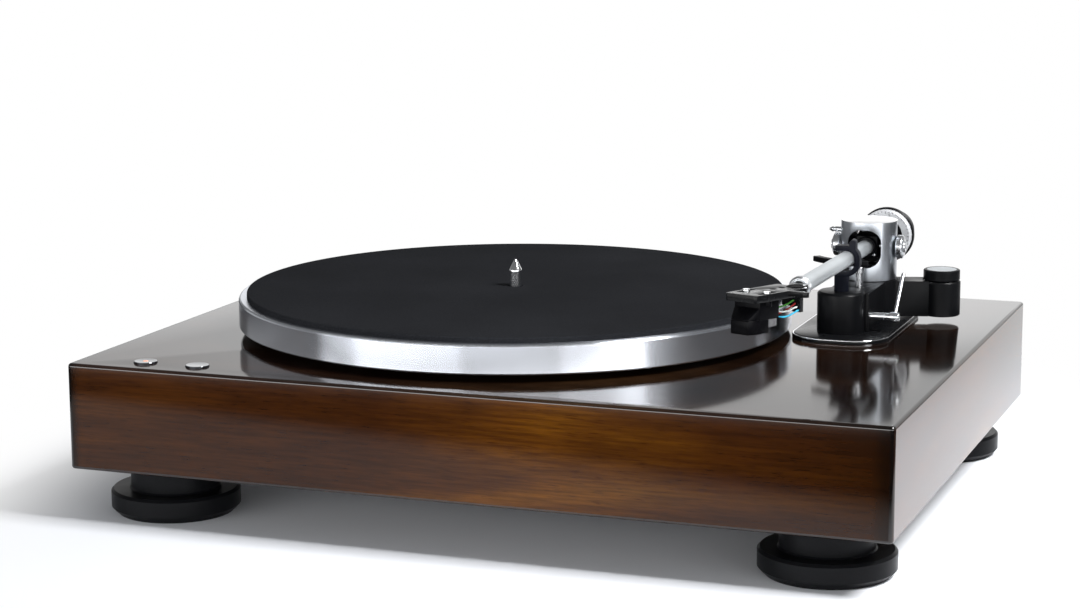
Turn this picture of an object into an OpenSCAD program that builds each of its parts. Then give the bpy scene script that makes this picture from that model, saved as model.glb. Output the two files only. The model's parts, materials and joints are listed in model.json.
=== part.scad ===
// Belt-drive turntable on a lacquered wooden plinth, with a straight tonearm parked in its rest.
// Millimetres. Origin on the floor under the plinth's centre, X to the right, Y to the back, Z up.

/* [Plinth] */
// Width of the plinth, left to right
plinth_w = 435; // [425:1:460]
// Depth of the plinth, front to back
plinth_d = 340; // [336:1:360]
// Height of the plinth without its feet
plinth_h = 56; // [54:1:70]
// Thickness of the deck board
deck_t = 14; // [11:0.5:16]
// Thickness of the side boards
side_t = 18; // [16:0.5:20]
// Radius of the plinth's upright corners
corner_r = 2.5; // [1:0.5:6]
// Side of the square blocks glued into the corners
block_w = 40; // [36:1:42]
// Thickness of the bottom panel
panel_t = 4; // [3:0.5:6]
// Width of the rebate that the bottom panel lies in
rebate_w = 9; // [6:0.5:12]
// Length of the bottom panel's screws
panel_screw_len = 14; // [10:1:20]

/* [Feet] */
// Height of a foot
foot_h = 27.5; // [24:0.5:32]
// Diameter of a foot's wide disc
foot_disc_d = 68; // [60:1:72]
// Height of a foot's wide disc
foot_disc_h = 13; // [10:0.5:16]
// Diameter of a foot's upper stem
foot_stem_d = 47; // [40:1:52]
// Distance of a foot's axis from the plinth's left or right side
foot_inset_x = 40.5; // [38.5:0.5:43.5]
// Distance of a foot's axis from the plinth's front or back
foot_inset_y = 39; // [37:0.5:42]
// Chamfer on a foot's disc
foot_chamfer = 1.5; // [0.5:0.25:3]
// Diameter of a foot's bolt
foot_bolt_d = 8; // [6:1:10]

/* [Platter] */
// Distance of the platter's axis left of the plinth's centre
platter_off_x = 35; // [33:0.5:38]
// Distance of the platter's axis behind the plinth's centre
platter_off_y = 3.5; // [0:0.5:6]
// Diameter of the platter
platter_d = 304.8; // [298:0.2:308]
// Gap between the deck and the platter's rim
platter_gap = 4; // [3:0.25:5]
// Height of the platter's rim
platter_h = 15.5; // [14.5:0.25:18]
// Thickness of the platter's disc
platter_web_t = 5; // [3:0.25:5]
// Thickness of the platter's rim wall
platter_rim_t = 10; // [6:0.5:14]
// Diameter of the belt ring under the platter
belt_ring_d = 168; // [150:1:176]
// Wall of the belt ring
belt_ring_t = 5; // [3:0.5:7]
// Diameter of the platter's hub
hub_d = 30; // [24:1:36]
// Diameter of the mat
mat_d = 296; // [290:1:298]
// Thickness of the mat
mat_t = 3; // [2:0.25:4]
// Diameter of the record spindle
spindle_d = 7.16; // [7:0.02:7.2]
// Height of the record spindle above the mat
spindle_rise = 15; // [12:0.5:18]
// Height of the spindle's pointed tip
spindle_tip_h = 5.5; // [3:0.25:7]

/* [Main bearing] */
// Diameter of the bearing shaft
shaft_d = 10; // [8:0.25:12]
// Length of the bearing shaft below the deck's top
shaft_depth = 36; // [30:0.5:38]
// Radial clearance of a turning shaft in its bush
shaft_clear = 0.05; // [0.03:0.01:0.08]
// Wall of the bearing bush
bush_t = 2; // [1.5:0.25:3]
// Wall of the bearing housing
housing_t = 3; // [2:0.25:4]
// Diameter of the bearing housing's flange
flange_d = 42; // [40:1:50]
// Thickness of the bearing housing's flange
flange_t = 2.5; // [2:0.25:2.75]
// Diameter of the thrust ball
ball_d = 5; // [4:0.25:6]

/* [Drive] */
// Distance of the motor's axis from the platter's axis
motor_reach = 113; // [108:0.5:118]
// Direction of the motor from the platter, from the right towards the back
motor_angle = 135; // [125:1:145]
// Diameter of the motor's can
motor_d = 32; // [28:1:36]
// Height of the motor's can
motor_h = 24; // [18:0.5:26]
// Diameter of the motor's shaft
motor_shaft_d = 2; // [1.5:0.25:3]
// Diameter of the motor's pulley where the belt runs
pulley_d = 12; // [10:0.25:14]
// Height of the pulley's flanges over the belt
pulley_lip = 1.2; // [0.8:0.1:2]
// Thickness of the belt
belt_t = 0.8; // [0.6:0.1:1.2]
// Width of the belt
belt_w = 4.5; // [3:0.25:5]
// Gap kept between the belt and what it runs on
belt_clear = 0.2; // [0.1:0.05:0.3]

/* [Controls] */
// Diameter of a push button
button_d = 12; // [10:0.5:13]
// Height of a push button above the deck
button_rise = 2; // [1.75:0.25:4]
// Travel of a push button
button_travel = 1.5; // [1:0.25:1.75]
// Distance of the buttons from the plinth's left side
button_inset_x = 37.5; // [35:0.5:40]
// Distance of the buttons from the plinth's front
button_inset_y = 16; // [15:0.5:18]
// Distance between the buttons
button_step = 30; // [27:0.5:32]
// Gap round a push button
button_clear = 0.3; // [0.2:0.05:0.5]
// Width of the rear panel's window
window_w = 92; // [90:1:100]
// Height of the rear panel's window
window_h = 24; // [20:0.5:26]
// Distance of the rear window's middle right of the plinth's centre
window_x = 80; // [70:1:84]
// Diameter of a phono jack's sleeve
jack_d = 8.3; // [8:0.05:8.6]
// Length of a phono jack's sleeve
jack_len = 9; // [8:0.25:10]

/* [Arm base] */
// Distance of the arm's pivot right of the plinth's centre
pivot_x = 145; // [143.5:0.5:147]
// Distance of the arm's pivot behind the plinth's centre
pivot_y = 84; // [82:0.5:86]
// Height of the arm's pivot above the deck
pivot_h = 42.3; // [41.5:0.1:43.5]
// Width of the arm's base plate
base_w = 53; // [50:0.5:54]
// Length of the arm's base plate
base_len = 112; // [108:1:116]
// Thickness of the arm's base plate
base_t = 3; // [2.5:0.25:3.5]
// Width of the bright trim round the base plate
trim_w = 1; // [0.6:0.1:1.5]
// Distance of the base plate's middle left of the pivot
base_off_x = 1.5; // [1:0.25:2.5]
// Radius of the base plate's corners
base_corner_r = 20; // [14:0.5:24]
// Distance of the base plate's front end ahead of the pivot
base_front = 76; // [74:0.5:78]
// Height of the arm bridge above the deck
bridge_h = 24; // [23:0.25:24.5]
// Width of the arm bridge
bridge_w = 24; // [20:0.5:25]
// Diameter of the cue lift's housing
lift_d = 26; // [25:0.5:27]
// Distance of the cue lift's housing left of the pivot
lift_off_x = 3; // [2:0.25:4]
// Distance of the cue lift's housing ahead of the pivot
lift_off_y = 50.5; // [49:0.5:52]
// Height of the cue lift's housing above the deck
lift_h = 25; // [24.5:0.25:26]
// Diameter of the antiskating drum
drum_d = 21; // [19:0.25:22]
// Height of the antiskating drum's knob
knob_h = 6; // [4:0.25:8]
// Distance of the antiskating drum right of the pivot
drum_off_x = 39; // [37:0.5:40]
// Distance of the antiskating drum behind the pivot
drum_off_y = 11; // [9:0.5:12]
// Height of the antiskating knob's seam above the deck
drum_seam_h = 23; // [21:0.25:24]
// Gap between the deck and what overhangs it
overhang = 3.7; // [3:0.1:4.5]

/* [Tonearm] */
// Turn of the parked arm away from straight ahead, outwards
arm_yaw = 1.6; // [1:0.1:2.2]
// Tilt of the raised arm, head up
arm_tilt = 1.7; // [1.5:0.1:1.8]
// Diameter of the arm tube
tube_d = 8.3; // [7.8:0.1:8.6]
// Distance from the pivot to the headshell's collar
tube_reach = 172; // [168:0.5:176]
// Wall of the arm tube
tube_t = 0.8; // [0.6:0.1:1.2]
// Diameter of the arm tower
tower_d = 31; // [30:0.25:32]
// Height of the arm tower's top above the deck
tower_top = 56.8; // [55.5:0.1:58]
// Width of the tower's window
tower_win_w = 18.5; // [18:0.25:20]
// Height of the tower's window
tower_win_h = 21; // [20:0.25:22]
// Radius of the window's corners
tower_win_r = 7.5; // [5:0.25:8.5]
// Diameter of a pivot screw's round nut
nut_d = 13; // [11:0.5:14]
// Length of a pivot screw's round nut
nut_len = 5; // [4:0.5:6]
// Offset angle of the headshell
head_angle = 24; // [22:0.5:25]
// Length of the headshell ahead of the collar
head_len = 46.5; // [44:0.5:48]
// Width of the headshell
head_w = 19; // [18:0.25:20]
// Thickness of the headshell plate
head_t = 3.6; // [3:0.1:4]
// Height of the headshell's top over the tube's axis
head_rise = 1.5; // [1.2:0.1:1.8]
// Distance between the cartridge's screws
cart_pitch = 12.7; // [12.5:0.1:12.9]
// Height of the cartridge from the headshell to the stylus
cart_h = 14.7; // [13.5:0.1:14.8]
// Diameter of the counterweight
weight_d = 31.5; // [30:0.5:33]
// Thickness of the counterweight's front rim
weight_rim_t = 4; // [3:0.25:6]
// Diameter of the counterweight's rear body
weight_body_d = 24; // [22:0.5:27]
// Length of the counterweight
weight_len = 24; // [20:0.5:28]
// Distance from the pivot back to the force dial
weight_reach = 45; // [44:0.5:47]
// Thickness of the force dial
dial_t = 4; // [3:0.25:5]
// Diameter of the arm's rear stub
stub_d = 8; // [7:0.25:9]
// Gap between the arm tube and its rest
rest_clear = 0.4; // [0.3:0.05:0.6]
// Diameter of a cartridge lead
lead_d = 0.9; // [0.7:0.05:1.1]

/* [Hidden] */
$fn = 96;

// Colours
walnut = [0.30, 0.17, 0.10];
satin_black = [0.06, 0.06, 0.065];
bright_metal = [0.82, 0.83, 0.85];
soft_grey = [0.70, 0.71, 0.73];
steel_grey = [0.55, 0.56, 0.58];

// Small amounts shared by many pieces
cut = 1;            // how far a cutter runs past a face
seat_clear = 0.05;  // gap between fixed round pieces that seat in each other
move_clear = 0.3;   // gap between pieces that move past each other

// Plinth
deck_z = foot_h + plinth_h;
under_z = deck_z - deck_t;
panel_z = foot_h + panel_t;
foot_x = plinth_w / 2 - foot_inset_x;
foot_y = plinth_d / 2 - foot_inset_y;
room_w = plinth_w - 2 * side_t;
room_d = plinth_d - 2 * side_t;
panel_gap = 0.3;
panel_w = room_w + 2 * rebate_w;
panel_d = room_d + 2 * rebate_w;
panel_screw_inset = rebate_w / 2;
panel_screw_d = 3;
panel_screw_head_d = 6.5;
panel_screw_head_h = 2;
foot_bolt_len = 22;
foot_bolt_sink = 4;
foot_bolt_head_d = 16;
foot_bolt_head_h = 5;

// Platter, bearing and drive
platter_x = -platter_off_x;
platter_y = platter_off_y;
platter_z = deck_z + platter_gap;
platter_top = platter_z + platter_h;
web_z = platter_top - platter_web_t;
mat_top = platter_top + mat_t;
mat_clear = 0.2;
spindle_point_d = 0.6;
spindle_neck_d = 6;
rim_round = 1.5;
housing_bore_r = shaft_d / 2 + shaft_clear + bush_t;
housing_r = housing_bore_r + housing_t;
housing_floor = 3;
ball_seat_clear = 0.05;
shaft_end_z = deck_z - shaft_depth;
housing_z = shaft_end_z - ball_seat_clear - ball_d - housing_floor;
bush_len = 30;
flange_screws = 3;
flange_screw_r = (flange_d / 2 + housing_r) / 2;
flange_screw_d = 3;
flange_screw_head_d = 5;
flange_screw_head_h = 1;
flange_screw_len = 11;
motor_x = platter_x + motor_reach * cos(motor_angle);
motor_y = platter_y + motor_reach * sin(motor_angle);
belt_rise = 1.5;
belt_z = platter_z + belt_rise;
belt_ring_r = belt_ring_d / 2;
belt_far_steps = 120;
belt_near_steps = 24;
pulley_r = pulley_d / 2;
pulley_lip_t = 1;
pulley_hub_gap = 0.4;
pulley_z = belt_z - pulley_hub_gap - pulley_lip_t;
pulley_len = belt_w + 2 * (pulley_hub_gap + pulley_lip_t);
motor_hole_d = 18;
grommet_h = 4;
grommet_d = 10;
motor_plate_t = 1.5;
motor_plate_d = motor_d + 26;
motor_fix_r = motor_d / 2 + 7;
motor_screw_n = 3;
motor_screw_d = 3;
motor_screw_head_d = 7;
motor_screw_sink = 9;
motor_screw_head_h = 2;
motor_plate_z = under_z - grommet_h - motor_plate_t;

// Controls and the rear panel
button_y = -plinth_d / 2 + button_inset_y;
button_xs = [-plinth_w / 2 + button_inset_x, -plinth_w / 2 + button_inset_x + button_step];
button_mid_x = (button_xs[0] + button_xs[1]) / 2;
button_skirt = 8;
button_chamfer = 0.5;
stem_d = 5;
pocket_wall = 6;
pocket_w = button_step + 26;
pocket_d = 34;
board_drop = 9;
board_w = button_step + 20;
board_d = 22;
board_t = 1.6;
board_z = under_z - board_drop;
board_gap = 2;
board_y = -plinth_d / 2 + pocket_wall + board_gap + board_d / 2;
switch_w = 6;
switch_h = 5;
plunger_h = 1.5;
switch_gap = button_travel + move_clear;
post_d = 6;
post_edge = 1;
post_reach = board_d / 2 - post_d / 2 - post_edge;
panel_lap = 5;
rear_panel_t = 2;
window_z = (panel_z + under_z) / 2;
rear_face_y = plinth_d / 2;
rear_panel_y = rear_face_y - side_t;
jack_step = 16;
jack_inset = 14;
jack_x = window_x - window_w / 2 + jack_inset;
jack_nut_d = 12;
jack_nut_t = 2.5;
jack_hole_d = 3.2;
jack_tail = 6;
ground_x = jack_x + 2 * jack_step;
inlet_inset = 16;
inlet_x = window_x + window_w / 2 - inlet_inset;
inlet_d = 12;
inlet_rim_t = 2;
inlet_rim_w = 2;
inlet_depth = 12;
inlet_bore_d = 6.4;
inlet_bore_len = 11;
ground_d = 4;
ground_nut_d = 9;
ground_nut_h = 6;
ground_len = 9;
ground_tail = 4;

// Arm base
pivot_z = deck_z + pivot_h;
base_z = deck_z + base_t;
base_x = pivot_x - base_off_x;
base_front_y = pivot_y - base_front;
trim_drop = 0.3;
bridge_z = deck_z + bridge_h;
lift_x = pivot_x - lift_off_x;
lift_y = pivot_y - lift_off_y;
lift_top = deck_z + lift_h;
lift_chamfer = 1.2;
drum_x = pivot_x + drum_off_x;
drum_y = pivot_y + drum_off_y;
drum_z = deck_z + overhang;
seam_z = deck_z + drum_seam_h;
knob_step = 0.4;
knob_sink = 0.4;
knob_rim = 1.8;
knob_pin_d = 5;
knob_pin_len = 6;
wing_w = 15;
wing_drop = 0.6;
stud_d = 20;
stud_wall_gap = 0.5;
stud_len = deck_t + 8;
nut_across = 26;
base_nut_t = 5;
swing_d = 8;
swing_len = 18;
tower_gap = 0.4;
tower_foot_w = 1;
end_room = 1;

// Cue lift
cue_y = lift_y + 4;
cue_z = deck_z + 11.5;
cue_axle_d = 4;
cue_axle_in = 9;
cue_axle_out = 18;
cue_hub_d = 5;
cue_hub_w = 5;
cue_rod_d = 2.2;
cue_rod_len = 29;
cue_rod_angle = 45;
lift_reach = 33;
lift_pin_x = 1.5;
lift_pin_d = 4;
lift_pin_in = 12;
lift_head_d = 6;
lift_head_h = 3.5;
lift_bar_w = 4.4;
lift_bar_t = 3;
lift_bar_from = -11;
lift_bar_to = 49;
lift_travel = 3.5;

// Arm rest
rest_ahead = 7.5;
rest_reach = lift_off_y + rest_ahead;
rest_w = 6;
rest_wall = 2.65;
rest_drop = 2.2;
rest_post_d = 8;
rest_finger_w = 3.3;
rest_finger_x = 1.6;
rest_finger_top = 10.4;
rest_hook = 6;

// Tonearm, in a frame of its own: origin at the pivot, the head along -Y
tube_r = tube_d / 2;
arm_back = 6;
block_side = 12;
block_len = 13;
screw_d = 5;
screw_point_gap = 0.35;
nut_gap = 0.3;
tower_bottom = bridge_h + tower_gap;
tower_z = deck_z + tower_bottom;
tower_r = tower_d / 2;
tower_pin_d = 3;
tower_pin_len = 7;
tower_pin_tip = 2;
tower_point_d = 1;
tower_pin_rise = nut_d / 2 + tower_pin_d / 2 + move_clear;
collar_d = 11.5;
collar_len = 5;
neck_d = 9.5;
neck_len = 9;
head_back = 5;
head_corner_r = 1.5;
finger_in = 2;
finger_len = 10.5;
finger_w = 4;
finger_t = 2.4;
finger_y = 21;
slot_w = 2.8;
slot_len = 13;
slot_mid = 34;
hole_d = 3.4;
hole_ys = [14, 21];
terminal_x = 1.5;
terminal_w = 5;
terminal_t = 2.5;
terminal_h = 11.5;
terminal_y = 1.5;
head_under = head_rise - head_t;
cart_front = 41;
cart_back = 26;
cart_w = 15.5;
cart_block_h = 9;
cart_mount_h = 3;
cart_ear_d = 5;
screw_head_d = 3.8;
screw_head_h = 1.4;
cart_screw_d = 2.4;
holder_w = 11;
holder_front = 39;
holder_back = 29;
holder_h = 3;
cantilever_w = 1.2;
cantilever_drop = 1;
stylus_d = 1;
stylus_point_d = 0.3;
guard_t = 0.9;
guard_front = 47;
guard_back = 34;
guard_bend = 40;
guard_taper = 2.5;
guard_h = 6.8;
stylus_y = 43;

// The leads' routes from the cartridge back to the terminal: how far ahead of the collar, and for
// each lead its place across and up there
lead_ahead = [25.8, 24.2, 22.6, 21, 19.4, 17.8, 16.2, 14.6, 13, 11.4, 9.8, 8.2, 6.8, 5.4, 4.2];
lead_x = [
    [-4.5, -4.5, -4.4, -4.2, -3.9, -3.5, -3, -2.5, -2, -1.5, -1, -0.6, -0.3, -0.1, 0],
    [-1.5, -1.5, -1.4, -1.3, -1.1, -0.9, -0.6, -0.3, 0, 0.3, 0.5, 0.7, 0.9, 1, 1],
    [1.5, 1.5, 1.5, 1.6, 1.6, 1.7, 1.7, 1.8, 1.8, 1.9, 1.9, 1.9, 2, 2, 2],
    [4.5, 4.5, 4.5, 4.4, 4.3, 4.2, 4, 3.9, 3.7, 3.5, 3.3, 3.2, 3.1, 3, 3]
];
lead_z = [
    [-8.1, -8.1, -8.3, -8.5, -8.7, -8.8, -8.8, -8.7, -8.5, -8.2, -7.8, -7.3, -6.7, -6.2, -5.8],
    [-11, -11, -11.2, -11.4, -11.5, -11.5, -11.3, -11, -10.6, -10.1, -9.6, -9, -8.4, -7.8, -7.4],
    [-8.1, -8.1, -8.4, -8.8, -9.3, -9.7, -10, -10.2, -10.2, -10.1, -9.9, -9.6, -9.3, -9.1, -9],
    [-11, -11, -11.3, -11.7, -12, -12.2, -12.3, -12.3, -12.2, -12, -11.7, -11.4, -11.1, -10.8, -10.6]
];

// Counterweight
stub_len = 80;
sleeve_t = 1.5;
weight_gap = 0.3;
weight_recess = 8;
weight_hub_t = 1.6;
dial_d = weight_d - 3;
dial_bore_d = 20;
weight_hub_r = dial_bore_d / 2 - move_clear;
weight_y = weight_reach + dial_t + weight_gap;
sleeve_r = stub_d / 2 + shaft_clear + sleeve_t;

// Outline helpers
module rounded_rect(w, d, r) {
    square([w - 2 * r, d], center = true);
    square([w, d - 2 * r], center = true);
    for (x = [-1, 1], y = [-1, 1])
        translate([x * (w / 2 - r), y * (d / 2 - r)]) circle(r);
}

module slot_2d(len, w) {
    square([w, len - w], center = true);
    for (s = [-1, 1]) translate([0, s * (len - w) / 2]) circle(d = w);
}

// Solid helpers
module ring(r_out, r_in, h) {
    difference() {
        cylinder(h = h, r = r_out);
        translate([0, 0, -cut]) cylinder(h = h + 2 * cut, r = r_in);
    }
}

module along_x(h, r) { rotate([0, 90, 0]) cylinder(h = h, r = r); }
module along_y(h, r) { rotate([-90, 0, 0]) cylinder(h = h, r = r); }

module screw(d, len, head_d, head_h) {
    cylinder(h = head_h, d = head_d);
    translate([0, 0, -len]) cylinder(h = len, d = d);
}

module spread(n, r) {
    for (i = [0 : n - 1]) rotate([0, 0, i * 360 / n]) translate([r, 0, 0]) children();
}

module at_platter(z) { translate([platter_x, platter_y, z]) children(); }
module at_motor(z) { translate([motor_x, motor_y, z]) children(); }
module at_pivot(z) { translate([pivot_x, pivot_y, z]) children(); }

// The raised, parked arm's frame, and the headshell's frame on it
module arm_frame() { at_pivot(pivot_z) rotate([0, 0, arm_yaw]) rotate([-arm_tilt, 0, 0]) children(); }
module tower_frame(z) { at_pivot(z) rotate([0, 0, arm_yaw]) children(); }
module head_frame() { arm_frame() translate([0, -tube_reach, 0]) rotate([0, 0, -head_angle]) children(); }

// Plinth and feet
module panel_screw_places() {
    for (x = [-1, 1], y = [-1, 0, 1])
        translate([x * (panel_w / 2 - panel_screw_inset), y * panel_d / 3, 0]) children();
    for (y = [-1, 1])
        translate([0, y * (panel_d / 2 - panel_screw_inset), 0]) children();
}

module foot_places() {
    for (x = [-1, 1], y = [-1, 1]) translate([x * foot_x, y * foot_y, 0]) children();
}

module plinth_shell() {
    color(walnut) difference() {
        translate([0, 0, foot_h]) linear_extrude(plinth_h) rounded_rect(plinth_w, plinth_d, corner_r);
        // room inside, with the corner blocks left standing
        room_h = plinth_h - deck_t + cut;
        translate([-room_w / 2, -room_d / 2 + block_w, foot_h - cut])
            cube([room_w, room_d - 2 * block_w, room_h]);
        translate([-room_w / 2 + block_w, -room_d / 2, foot_h - cut])
            cube([room_w - 2 * block_w, room_d, room_h]);
        // rebate for the bottom panel
        translate([-panel_w / 2, -panel_d / 2, foot_h - cut]) cube([panel_w, panel_d, panel_t + cut]);
        // pocket for the control board
        translate([button_mid_x - pocket_w / 2, -plinth_d / 2 + pocket_wall, foot_h - cut])
            cube([pocket_w, pocket_d, room_h]);
        // holes in the deck
        at_platter(under_z - cut) cylinder(h = deck_t + 2 * cut, r = housing_r + stud_wall_gap);
        at_platter(deck_z - flange_screw_len) spread(flange_screws, flange_screw_r)
            cylinder(h = flange_screw_len + cut, d = flange_screw_d);
        at_motor(under_z - cut) cylinder(h = deck_t + 2 * cut, d = motor_hole_d);
        at_motor(under_z - cut) spread(motor_screw_n, motor_fix_r)
            cylinder(h = motor_screw_sink + cut, d = motor_screw_d);
        at_pivot(under_z - cut) cylinder(h = deck_t + 2 * cut, d = stud_d + 2 * stud_wall_gap);
        for (x = button_xs) translate([x, button_y, under_z - cut])
            cylinder(h = deck_t + 2 * cut, d = button_d + 2 * button_clear);
        // rear window
        translate([window_x - window_w / 2, rear_panel_y - cut, window_z - window_h / 2])
            cube([window_w, side_t + 2 * cut, window_h]);
        // screw and bolt holes
        translate([0, 0, foot_h]) panel_screw_places() cylinder(h = panel_screw_len, d = panel_screw_d);
        translate([0, 0, foot_h]) foot_places()
            cylinder(h = foot_bolt_len - foot_bolt_sink, d = foot_bolt_d);
    }
}

module bottom_panel() {
    color([0.22, 0.2, 0.18]) difference() {
        translate([0, 0, foot_h]) linear_extrude(panel_t)
            square([panel_w - 2 * panel_gap, panel_d - 2 * panel_gap], center = true);
        translate([0, 0, foot_h - cut]) panel_screw_places()
            cylinder(h = panel_t + 2 * cut, d = panel_screw_d + 2 * seat_clear);
        translate([0, 0, foot_h - cut]) panel_screw_places()
            cylinder(h = panel_screw_head_h + cut, d = panel_screw_head_d + 2 * seat_clear);
        translate([0, 0, foot_h - cut]) foot_places()
            cylinder(h = panel_t + 2 * cut, d = foot_bolt_d + 2 * seat_clear);
    }
}

module bottom_screws() {
    color(steel_grey) translate([0, 0, foot_h + panel_screw_head_h]) panel_screw_places()
        rotate([180, 0, 0])
        screw(panel_screw_d - 2 * seat_clear, panel_screw_len - panel_screw_head_h - 1, panel_screw_head_d,
              panel_screw_head_h);
}

module foot(x, y) {
    disc_r = foot_disc_d / 2;
    stem_r = foot_stem_d / 2;
    bolt_r = foot_bolt_d / 2 + seat_clear;
    head_r = foot_bolt_head_d / 2 + seat_clear;
    color(satin_black) translate([x, y, 0]) rotate_extrude() polygon([
        [head_r, 0], [disc_r - foot_chamfer, 0], [disc_r, foot_chamfer],
        [disc_r, foot_disc_h - foot_chamfer], [disc_r - foot_chamfer, foot_disc_h],
        [stem_r, foot_disc_h], [stem_r, foot_h], [bolt_r, foot_h],
        [bolt_r, foot_bolt_sink + foot_bolt_head_h], [head_r, foot_bolt_sink + foot_bolt_head_h]
    ]);
}

module foot_front_left() { foot(-foot_x, -foot_y); }
module foot_front_right() { foot(foot_x, -foot_y); }
module foot_rear_left() { foot(-foot_x, foot_y); }
module foot_rear_right() { foot(foot_x, foot_y); }

module foot_bolts() {
    color(steel_grey) translate([0, 0, foot_bolt_sink]) foot_places() {
        cylinder(h = foot_bolt_head_h, d = foot_bolt_head_d);
        cylinder(h = foot_h + foot_bolt_len - 2 * foot_bolt_sink - 1, d = foot_bolt_d - 2 * seat_clear);
    }
}

// Platter and its bearing
module platter() {
    rim_r = platter_d / 2;
    color(soft_grey) at_platter(platter_z) difference() {
        rotate_extrude($fn = 180) {
            // rim, disc, belt ring and hub in one turned outline
            difference() {
                square([rim_r, platter_h]);
                square([rim_r - platter_rim_t, platter_h - platter_web_t]);
                translate([rim_r - rim_round, platter_h - rim_round]) difference() {
                    square(rim_round + cut);
                    circle(rim_round);
                }
                translate([rim_r - rim_round, -cut]) difference() {
                    square([rim_round + cut, rim_round + cut]);
                    translate([0, rim_round + cut]) circle(rim_round);
                }
            }
            translate([belt_ring_d / 2 - belt_ring_t, 0]) square([belt_ring_t, platter_h]);
            square([hub_d / 2, platter_h]);
        }
        translate([0, 0, -cut]) cylinder(h = platter_h + 2 * cut, d = shaft_d + 2 * seat_clear);
    }
}

module platter_mat() {
    color([0.05, 0.05, 0.05]) at_platter(platter_top) ring(mat_d / 2, spindle_d / 2 + mat_clear, mat_t);
}

module spindle() {
    color(bright_metal) at_platter(0) {
        pin_top = mat_top + spindle_rise;
        translate([0, 0, shaft_end_z]) cylinder(h = platter_top - shaft_end_z, d = shaft_d);
        translate([0, 0, platter_top]) cylinder(h = mat_t, d = spindle_neck_d);
        translate([0, 0, mat_top]) cylinder(h = spindle_rise - spindle_tip_h, d = spindle_d);
        translate([0, 0, pin_top - spindle_tip_h])
            cylinder(h = spindle_tip_h, d1 = spindle_d, d2 = spindle_point_d);
    }
}

module bearing_housing() {
    color(steel_grey) at_platter(0) difference() {
        union() {
            translate([0, 0, deck_z]) cylinder(h = flange_t, d = flange_d);
            translate([0, 0, housing_z]) cylinder(h = deck_z + flange_t - housing_z, r = housing_r);
        }
        translate([0, 0, housing_z + housing_floor])
            cylinder(h = deck_z - housing_z + flange_t, r = housing_bore_r);
        translate([0, 0, deck_z - cut]) spread(flange_screws, flange_screw_r)
            cylinder(h = flange_t + 2 * cut, d = flange_screw_d + 2 * seat_clear);
    }
}

module bearing_bush() {
    color([0.62, 0.45, 0.2]) at_platter(deck_z + flange_t - bush_len)
        ring(housing_bore_r - seat_clear / 2, shaft_d / 2 + shaft_clear, bush_len);
}

module thrust_ball() {
    color(bright_metal) at_platter(housing_z + housing_floor + ball_d / 2) sphere(d = ball_d);
}

module bearing_screws() {
    color(steel_grey) at_platter(deck_z + flange_t) spread(flange_screws, flange_screw_r)
        screw(flange_screw_d - 2 * seat_clear, flange_t + flange_screw_len - 1, flange_screw_head_d,
              flange_screw_head_h);
}

// Motor and belt
module motor_body() {
    color(soft_grey) at_motor(motor_plate_z - motor_h) difference() {
        cylinder(h = motor_h, d = motor_d);
        translate([0, 0, motor_h / 2]) cylinder(h = motor_h, d = motor_shaft_d + 2 * shaft_clear);
    }
}

module motor_plate() {
    color(steel_grey) at_motor(motor_plate_z) difference() {
        cylinder(h = motor_plate_t, d = motor_plate_d);
        translate([0, 0, -cut]) cylinder(h = motor_plate_t + 2 * cut, d = motor_shaft_d + 2);
        translate([0, 0, -cut]) spread(motor_screw_n, motor_fix_r)
            cylinder(h = motor_plate_t + 2 * cut, d = motor_screw_d + 2 * seat_clear);
    }
}

module motor_grommets() {
    color([0.1, 0.1, 0.1]) at_motor(motor_plate_z + motor_plate_t) spread(motor_screw_n, motor_fix_r)
        ring(grommet_d / 2, motor_screw_d / 2 + seat_clear, grommet_h);
}

module motor_screws() {
    color(steel_grey) at_motor(motor_plate_z) spread(motor_screw_n, motor_fix_r) rotate([180, 0, 0])
        screw(motor_screw_d - 2 * seat_clear, motor_plate_t + grommet_h + motor_screw_sink - 1,
              motor_screw_head_d, motor_screw_head_h);
}

module motor_shaft() {
    color(bright_metal) at_motor(motor_plate_z - motor_h / 2 + move_clear)
        cylinder(h = pulley_z + pulley_len - motor_plate_z + motor_h / 2, d = motor_shaft_d);
}

module motor_pulley() {
    lip_r = pulley_r + pulley_lip;
    color([0.78, 0.62, 0.3]) at_motor(pulley_z) difference() {
        union() {
            cylinder(h = pulley_len, r = pulley_r);
            cylinder(h = pulley_lip_t, r = lip_r);
            translate([0, 0, pulley_len - pulley_lip_t]) cylinder(h = pulley_lip_t, r = lip_r);
        }
        translate([0, 0, -cut]) cylinder(h = pulley_len + 2 * cut, d = motor_shaft_d + seat_clear);
    }
}

// The belt's outline at a distance out from what it runs on
module belt_outline(out) {
    big = belt_ring_r + out;
    small = pulley_r + out;
    lean = acos((big - small) / motor_reach);
    far_step = (360 - 2 * lean) / belt_far_steps;
    near_step = 2 * lean / belt_near_steps;
    polygon(concat(
        [for (i = [0 : belt_far_steps]) let (a = lean + i * far_step) big * [cos(a), sin(a)]],
        [for (i = [0 : belt_near_steps]) let (a = i * near_step - lean)
            [motor_reach, 0] + small * [cos(a), sin(a)]]
    ));
}

module drive_belt() {
    color([0.08, 0.08, 0.08]) at_platter(belt_z) rotate([0, 0, motor_angle]) linear_extrude(belt_w)
        difference() {
            belt_outline(belt_clear + belt_t);
            belt_outline(belt_clear);
        }
}

// Buttons, board and rear panel
module push_button(x) {
    stem_end = board_z + switch_h + switch_gap;
    color(bright_metal) translate([x, button_y, 0]) {
        translate([0, 0, deck_z - button_skirt])
            cylinder(h = button_skirt + button_rise - button_chamfer, d = button_d);
        translate([0, 0, deck_z + button_rise - button_chamfer])
            cylinder(h = button_chamfer, d1 = button_d, d2 = button_d - 2 * button_chamfer);
        translate([0, 0, stem_end]) cylinder(h = deck_z - button_skirt - stem_end, d = stem_d);
    }
}

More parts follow.
